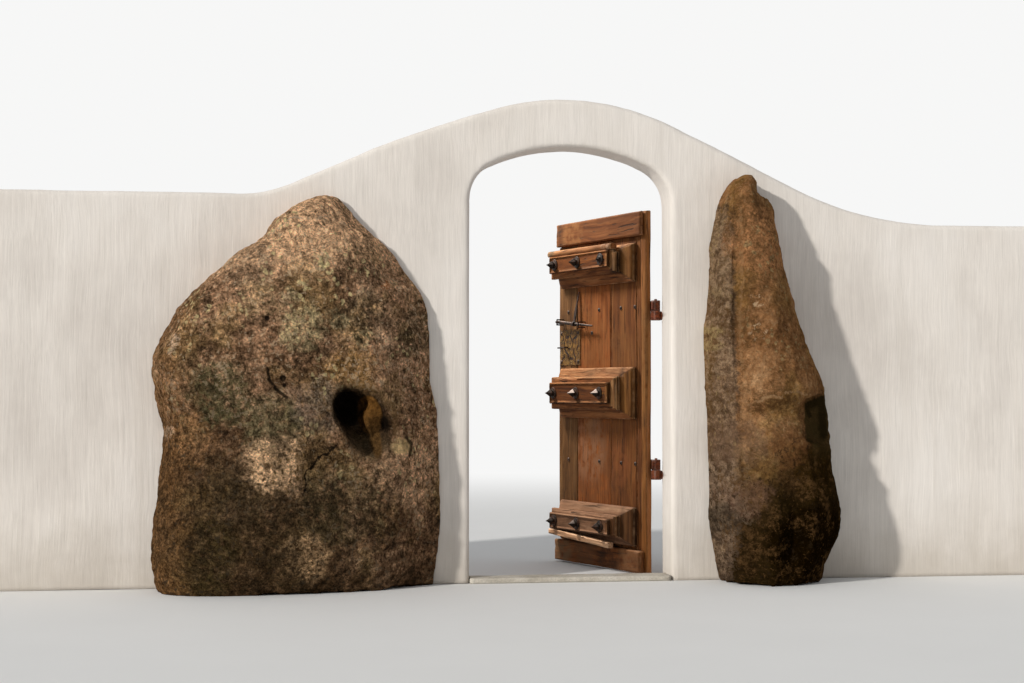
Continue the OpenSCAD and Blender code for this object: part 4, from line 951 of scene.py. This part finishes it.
def make_forged(name, bm, material, replaced, body, place=LEAF, bevel=0.0, grid=0.0, dent=0.5, seed=1, rubbed=None,
                highlight_from=-1.0):
    """Hammered iron; rubbed is a direction: the faces that look that way are brightest, a painted highlight in place
    of edge wear, beyond highlight_from across the leaf
    """
    if bevel:
        soften(bm, 35, bevel)
    if grid:
        cut_grid(bm, (grid, grid, grid))
    piece = new_object(name, bm)
    co, normal = surface(piece)
    wear = wear_of(normal)
    # Painted highlight: the wear value becomes how far each face looks along rubbed
    if rubbed is not None:
        wear = np.clip(normal @ np.array(rubbed), 0, 1) ** 4 * (co[:, 1] > highlight_from)
    set_points(piece, pushed(co, normal, -dent * (1 + fractal(co * 55, seed, 2))))
    set_value(piece, "wear", wear)
    finished(piece, [material], body, replaced, place)


def islands(node):
    """Lowest and highest corners of a node's separate solids in the leaf's frame, from the hinges outwards"""
    bm = gathered([node], LEAF)
    left, groups = set(bm.verts), []
    while left:
        stack, group = [left.pop()], []
        while stack:
            v = stack.pop()
            group.append(v.co[:])
            others = {e.other_vert(v) for e in v.link_edges} & left
            left -= others
            stack += others
        groups.append((np.min(group, axis=0), np.max(group, axis=0)))
    bm.free()
    return sorted(groups, key=lambda g: g[0][0])


# The way that the spikes' painted highlight faces, in the leaf's frame: the hinges' side, out and up
HIGHLIGHT_FACING = np.array((-0.6, 0.45, 0.66))
# How strong each spike's painted highlight is, by block and from the hinges outwards
SPIKE_HIGHLIGHT = {"upper": (0.3, 0.75, 0.6), "middle": (1.0, 1.0, 0.7), "lower": (0.4, 0.82, 0.3)}
# A spike's washer, neck and point: millimetres out, share of the washer's radius, how square it is
SPIKE = ((0, 0.97, 0), (2.5, 1.0, 0), (4.5, 0.96, 0), (6, 0.86, 0), (6.4, 0.7, 0), (6.6, 0.5, 0), (9, 0.49, 0.1),
         (13, 0.56, 0.4), (18, 0.68, 0.85), (21, 0.7, 1), (26, 0.58, 1), (36, 0.385, 1), (46, 0.2, 1),
         (54, 0.085, 0.9), (58, 0.03, 0.6))
SPIKE_TURNS = 32


def make_spikes():
    """Round washers with a neck and a four-sided, hammered point; the first is worn blunt"""
    for k, (block, bright) in enumerate(SPIKE_HIGHLIGHT.items()):
        node = block + "_spikes"
        for i, (low, high) in enumerate(islands(node)):
            x, _, z = (low + high) / 2
            radius, base, tip = (high[0] - low[0]) / 2, low[1], high[1]
            blunt = 0.6 if k == i == 0 else 1
            rows = []
            for out, share, square in SPIKE:
                height = base + min(out * MM * (blunt if out > 21 else 1), tip - base)
                size = radius * share * (blunt if share < 0.71 and out > 12 else 1)
                ring = []
                for t in range(SPIKE_TURNS):
                    a = 2 * math.pi * t / SPIKE_TURNS + math.radians(8 * (i - 1) + 5 * k)
                    diamond = 1 / (abs(math.cos(a)) + abs(math.sin(a)))
                    uneven = 1 + 0.03 * math.sin(3 * a + i + 2 * k) * (1 - square)
                    r = size * uneven * (1 - square + square * diamond * 1.06)
                    ring.append((x + r * math.cos(a), height, z + r * math.sin(a)))
                rows.append(ring)
            # The faces of each point turned towards the light carry a painted highlight
            make_forged(f"{node}_{i}", lofted(rows), iron, [node], "door", dent=0.45, seed=70 + 9 * k + i,
                        rubbed=HIGHLIGHT_FACING * bright[i], highlight_from=base + 20 * MM)


HANDLED = (0, 0.3, 0)
# Other ironwork: material, body, bevel, grid that it is cut by, the way that its rubbed faces look
IRONWORK = {
    "upper_strap": (rusty_iron, "door", 0.8, 0.018, None), "lower_strap": (rusty_iron, "door", 0.8, 0.018, None),
    "upper_nails": (nail_iron, "door", 0, 0, None), "lower_nails": (nail_iron, "door", 0, 0, None),
    "lock_nails": (nail_iron, "door", 0, 0, None), "door_pull": (iron, "door", 0, 0, HANDLED),
    "bolt_guides": (iron, "door", 0, 0, HANDLED), "upper_pintle": (rusty_iron, "gate", 0.8, 0.012, None),
    "lower_pintle": (rusty_iron, "gate", 0.8, 0.012, None), "hasp_arm": (iron, "hasp", 0.8, 0.012, HANDLED),
}


def make_ironwork():
    for k, (node, (material, body, bevel, grid, rubbed)) in enumerate(IRONWORK.items()):
        make_forged(node + "_forged", gathered([node], LEAF), material, [node], body, bevel=bevel, grid=grid,
                    dent=0.35, seed=130 + 11 * k, rubbed=rubbed)


# The bolt's bar: share of its length from the hinges' end, radius in millimetres
BOLT = ((0, 2.5), (0.004, 4.2), (0.015, 5.0), (0.03, 5.2), (0.2, 6.6), (0.4, 7.6), (0.43, 8.6), (0.6, 9.0),
        (0.8, 9.5), (0.93, 9.6), (0.97, 9.3), (0.988, 7.6), (0.997, 4.5), (1, 1.5))
BOLT_TURNS = 24


def make_bolt():
    """The round bar, thicker at the free edge and drawn out thin towards the hinges"""
    axis = Vector(next(joint for joint in frame["joints"] if joint["name"] == "bolt_slide")["axis"]).normalized()
    co = np.array([v.co[:] for v in nodes["bolt_bar"].data.vertices])
    along = co @ np.array(axis)
    middle = Vector((co[along < along.mean()].mean(axis=0)))
    start, end = along.min(), along.max()
    side = axis.cross(Vector((0, 0, 1))).normalized()
    up = side.cross(axis).normalized()
    rows = []
    for share, radius in BOLT:
        spot = middle + axis * (start + share * (end - start) - middle.dot(axis))
        rows.append([spot + (side * math.cos(a) + up * math.sin(a)) * radius * MM
                     for a in (2 * math.pi * t / BOLT_TURNS for t in range(BOLT_TURNS))])
    # Painted highlight on the bar's upper faces, turned a little to the front
    make_forged("bolt_bar_forged", lofted(rows), iron, ["bolt_bar"], "bolt", WORLD, grid=0.015, dent=0.3, seed=201,
                rubbed=(0, -0.35, 0.85))


# Scrolls that pierce the lock plate: middle, length, swing, width, tilt
SCROLLS = (
    (-0.062, 0.058, 0.07, 0.012, 0.008, 0.5), (-0.02, 0.05, 0.1, -0.012, 0.0065, -0.15),
    (0.032, 0.062, 0.062, 0.012, 0.0085, 0.7), (0.072, 0.04, 0.09, -0.008, 0.0055, 0.1),
    (-0.058, -0.05, 0.09, -0.01, 0.007, -0.1), (-0.018, -0.066, 0.055, 0.012, 0.008, 0.9),
    (0.034, -0.035, 0.1, -0.014, 0.0075, -0.35), (0.076, -0.06, 0.05, 0.009, 0.0065, 0.3),
    (-0.092, 0.0, 0.06, 0.006, 0.0055, 0.1), (0.005, -0.008, 0.03, 0.003, 0.008, 1.3))


def scroll(cx, cz, length, swing, width, tilt, steps=18):
    """The outline of an S-shaped slot, pointed at its ends"""
    left, right = [], []
    for s in (t / steps for t in range(steps + 1)):
        x, z = swing * math.sin(2 * math.pi * s), (s - 0.5) * length
        dx, dz = swing * 2 * math.pi * math.cos(2 * math.pi * s), length
        w = width * (0.25 + 0.75 * math.sin(math.pi * s)) / math.hypot(dx, dz)
        for row, sign in ((left, 1), (right, -1)):
            px, pz = x - sign * w * dz, z + sign * w * dx
            row.append((cx + px * math.cos(tilt) - pz * math.sin(tilt),
                        cz + px * math.sin(tilt) + pz * math.cos(tilt)))
    return left + right[::-1]


def plate_edge(wide, tall, steps=24, waves=4, depth=0.03):
    """A rectangle's outline with shallow waves along each side"""
    corners = ((-1, -1), (1, -1), (1, 1), (-1, 1))
    edge = []
    for (x0, z0), (x1, z1) in zip(corners, corners[1:] + corners[:1]):
        for share in (t / steps for t in range(steps)):
            bite = 1 - depth * (0.5 - 0.5 * math.cos(share * 2 * waves * math.pi))
            edge.append(((x0 + (x1 - x0) * share) * bite * wide / 2, (z0 + (z1 - z0) * share) * bite * tall / 2))
    return edge


def make_lock_plate():
    """A pierced plate: scrolled slots over a dark bed"""
    relief, inset = 1.2 * MM, 4 * MM
    low, high = leaf_box("lock_plate")
    x0, _, z0 = (low + high) / 2
    bm = bmesh.new()
    for loop in [plate_edge(high[0] - low[0], high[2] - low[2])] + [scroll(*s) for s in SCROLLS]:
        verts = [bm.verts.new((x0 + x, high[1] - relief, z0 + z)) for x, z in loop]
        for a, b in zip(verts, verts[1:] + verts[:1]):
            bm.edges.new((a, b))
    bmesh.ops.triangle_fill(bm, use_beauty=True, use_dissolve=False, edges=bm.edges[:])
    made = bmesh.ops.extrude_face_region(bm, geom=bm.faces[:])
    bmesh.ops.translate(bm, vec=(0, relief, 0), verts=[v for v in made["geom"] if isinstance(v, bmesh.types.BMVert)])
    bmesh.ops.recalc_face_normals(bm, faces=bm.faces)
    plate = new_object("lock_plate_pierced", bm)
    set_value(plate, "wear", np.clip(0.5 + fractal(surface(plate)[0] * 60, 3, 2), 0, 1))
    finished(plate, [brass], "door", ["lock_plate"], LEAF, smooth=False)
    bed = lofted([ring_of(low, high, low[1], inset), ring_of(low, high, high[1] - relief - 0.4 * MM, inset),
                  ring_of(low, high, high[1] - relief, inset + 0.4 * MM)])
    make_forged("lock_plate_bed", bed, iron, ["lock_plate"], "door", grid=0.02, dent=0.1, seed=5)


make_wall()
make_boulder("left_boulder", left_granite, 0.012, (
    (-0.95, 1.64, 0.05, 0.05, -12), (-1.33, 0.82, 0.07, 0.05, -12), (-0.9, 0.25, 0.15, 0.02, -10),
    (-1.593, 0.66, 0.1, 0.08, 7), (-1.63, 1.06, 0.03, 0.06, -6), (-1.23, 1.2, 0.12, 0.08, 8),
    (-1.55, 1.83, 0.06, 0.03, -10), (-1.35, 0.62, 0.06, 0.1, -6), (-1.09, 0.79, 0.07, 0.07, -34),
    (-1.12, 0.89, 0.03, 0.06, 18), (-0.93, 0.7, 0.04, 0.06, 12)), 41)
make_boulder("right_boulder", right_granite, 0.010, (
    (0.82, 1.6, 0.022, 0.4, -13), (0.87, 1.6, 0.025, 0.42, 8), (1.0, 1.95, 0.1, 0.035, -18),
    (0.98, 1.86, 0.11, 0.025, 10), (1.04, 0.98, 0.16, 0.02, 9), (1.04, 0.91, 0.15, 0.03, -20),
    (1.1, 0.3, 0.025, 0.25, -22), (1.26, 0.88, 0.035, 0.06, -22), (1.04, 2.08, 0.012, 0.05, -16),
    (0.84, 0.55, 0.02, 0.3, -14)), 67)
make_threshold()
make_boards()
make_tongues()
make_blocks()
make_spikes()
make_ironwork()
make_bolt()
make_lock_plate()

# ---------- Camera, floor and light ----------

leaf_pieces = [o for o in scene.collection.objects
               if o.type == "MESH" and o.get("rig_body", "") in ("door", "bolt", "hasp")]

cam = bpy.data.objects.new("camera", bpy.data.cameras.new("camera"))
scene.collection.objects.link(cam)
cam.location = (-1.7065, -9.3948, 1.0206)
cam.rotation_euler = (math.radians(90 + 1.653), 0, math.radians(-8.483))
cam.data.sensor_width = 36
cam.data.lens = 61.52
scene.camera = cam

BACKGROUND = (0.93, 0.93, 0.925, 1)
FLOOR_REACH = 40


def seen_directly(m):
    """1 for rays that show the background: from the camera, a mirror or glass"""
    rays = m.tree.nodes.new("ShaderNodeLightPath").outputs
    total = m.plus(rays["Is Camera Ray"], rays["Is Glossy Ray"])
    return m.math("MINIMUM", m.plus(total, rays["Is Transmission Ray"]), 1)


def floor_material():
    """Pale ground that passes into the background far from the object"""
    m = Maker("floor")
    p = m.place()
    away = m.add("ShaderNodeVectorMath", "Value", {0: p}, operation="LENGTH")
    m.colour = m.mix(m.noise(p, 1.3), (0.82, 0.82, 0.81), (0.86, 0.86, 0.85))
    m.done(0.9, None)
    glow = m.add("ShaderNodeEmission", 0, {"Color": BACKGROUND})
    m.output("Material", m.times(m.mask(away, 4.5, 13), seen_directly(m)), m.shader.outputs[0], glow)
    return m.owner


floor_mesh = bpy.data.meshes.new("floor")
floor_mesh.from_pydata([(x * FLOOR_REACH, y * FLOOR_REACH, 0) for x, y in ((-1, -1), (1, -1), (1, 1), (-1, 1))],
                       [], [(0, 1, 2, 3)])
floor = bpy.data.objects.new("floor", floor_mesh)
scene.collection.objects.link(floor)
floor_mesh.materials.append(floor_material())

scene.world = bpy.data.worlds.new("studio")
sky = Maker(scene.world)
ambient = sky.tree.nodes["Background"]
ambient.inputs["Color"].default_value = (0.95, 0.97, 1.0, 1)
ambient.inputs["Strength"].default_value = 0.4
white = sky.add("ShaderNodeBackground", 0, {"Color": BACKGROUND, "Strength": 1})
sky.output("World", seen_directly(sky), ambient.outputs[0], white)


def add_light(name, kind, energy, place, aim, **settings):
    lamp = bpy.data.lights.new(name, kind)
    lamp.energy = energy
    for key, value in settings.items():
        setattr(lamp, key, value)
    obj = bpy.data.objects.new(name, lamp)
    scene.collection.objects.link(obj)
    obj.location = place
    obj.rotation_euler = (Vector(aim) - Vector(place)).to_track_quat("-Z", "Y").to_euler()
    return obj


def link_light(lamp, pieces, state):
    """Makes a lamp light only these pieces, or all but these"""
    group = bpy.data.collections.new(lamp.name + "_pieces")
    for piece in pieces:
        group.objects.link(piece)
    for member in group.collection_objects:
        member.light_linking.link_state = state
    lamp.light_linking.receiver_collection = group


azimuth, elevation = math.radians(54), math.radians(21)
sun_place = Vector((-math.sin(azimuth) * math.cos(elevation), -math.cos(azimuth) * math.cos(elevation),
                    math.sin(elevation))) * 10
key = add_light("key", "SUN", 2.7, sun_place, (0, 0, 0), angle=math.radians(2.5), color=(1.0, 0.97, 0.92))
yard = add_light("yard", "SPOT", 960, (-1.6, 2.15, 4.1), (0.33, 0.62, 1.05), spot_size=math.radians(44),
                 spot_blend=0.5, shadow_soft_size=0.3, color=(1.0, 0.96, 0.9))
link_light(key, leaf_pieces, "EXCLUDE")
link_light(yard, leaf_pieces, "INCLUDE")

scene.view_settings.view_transform = "Standard"
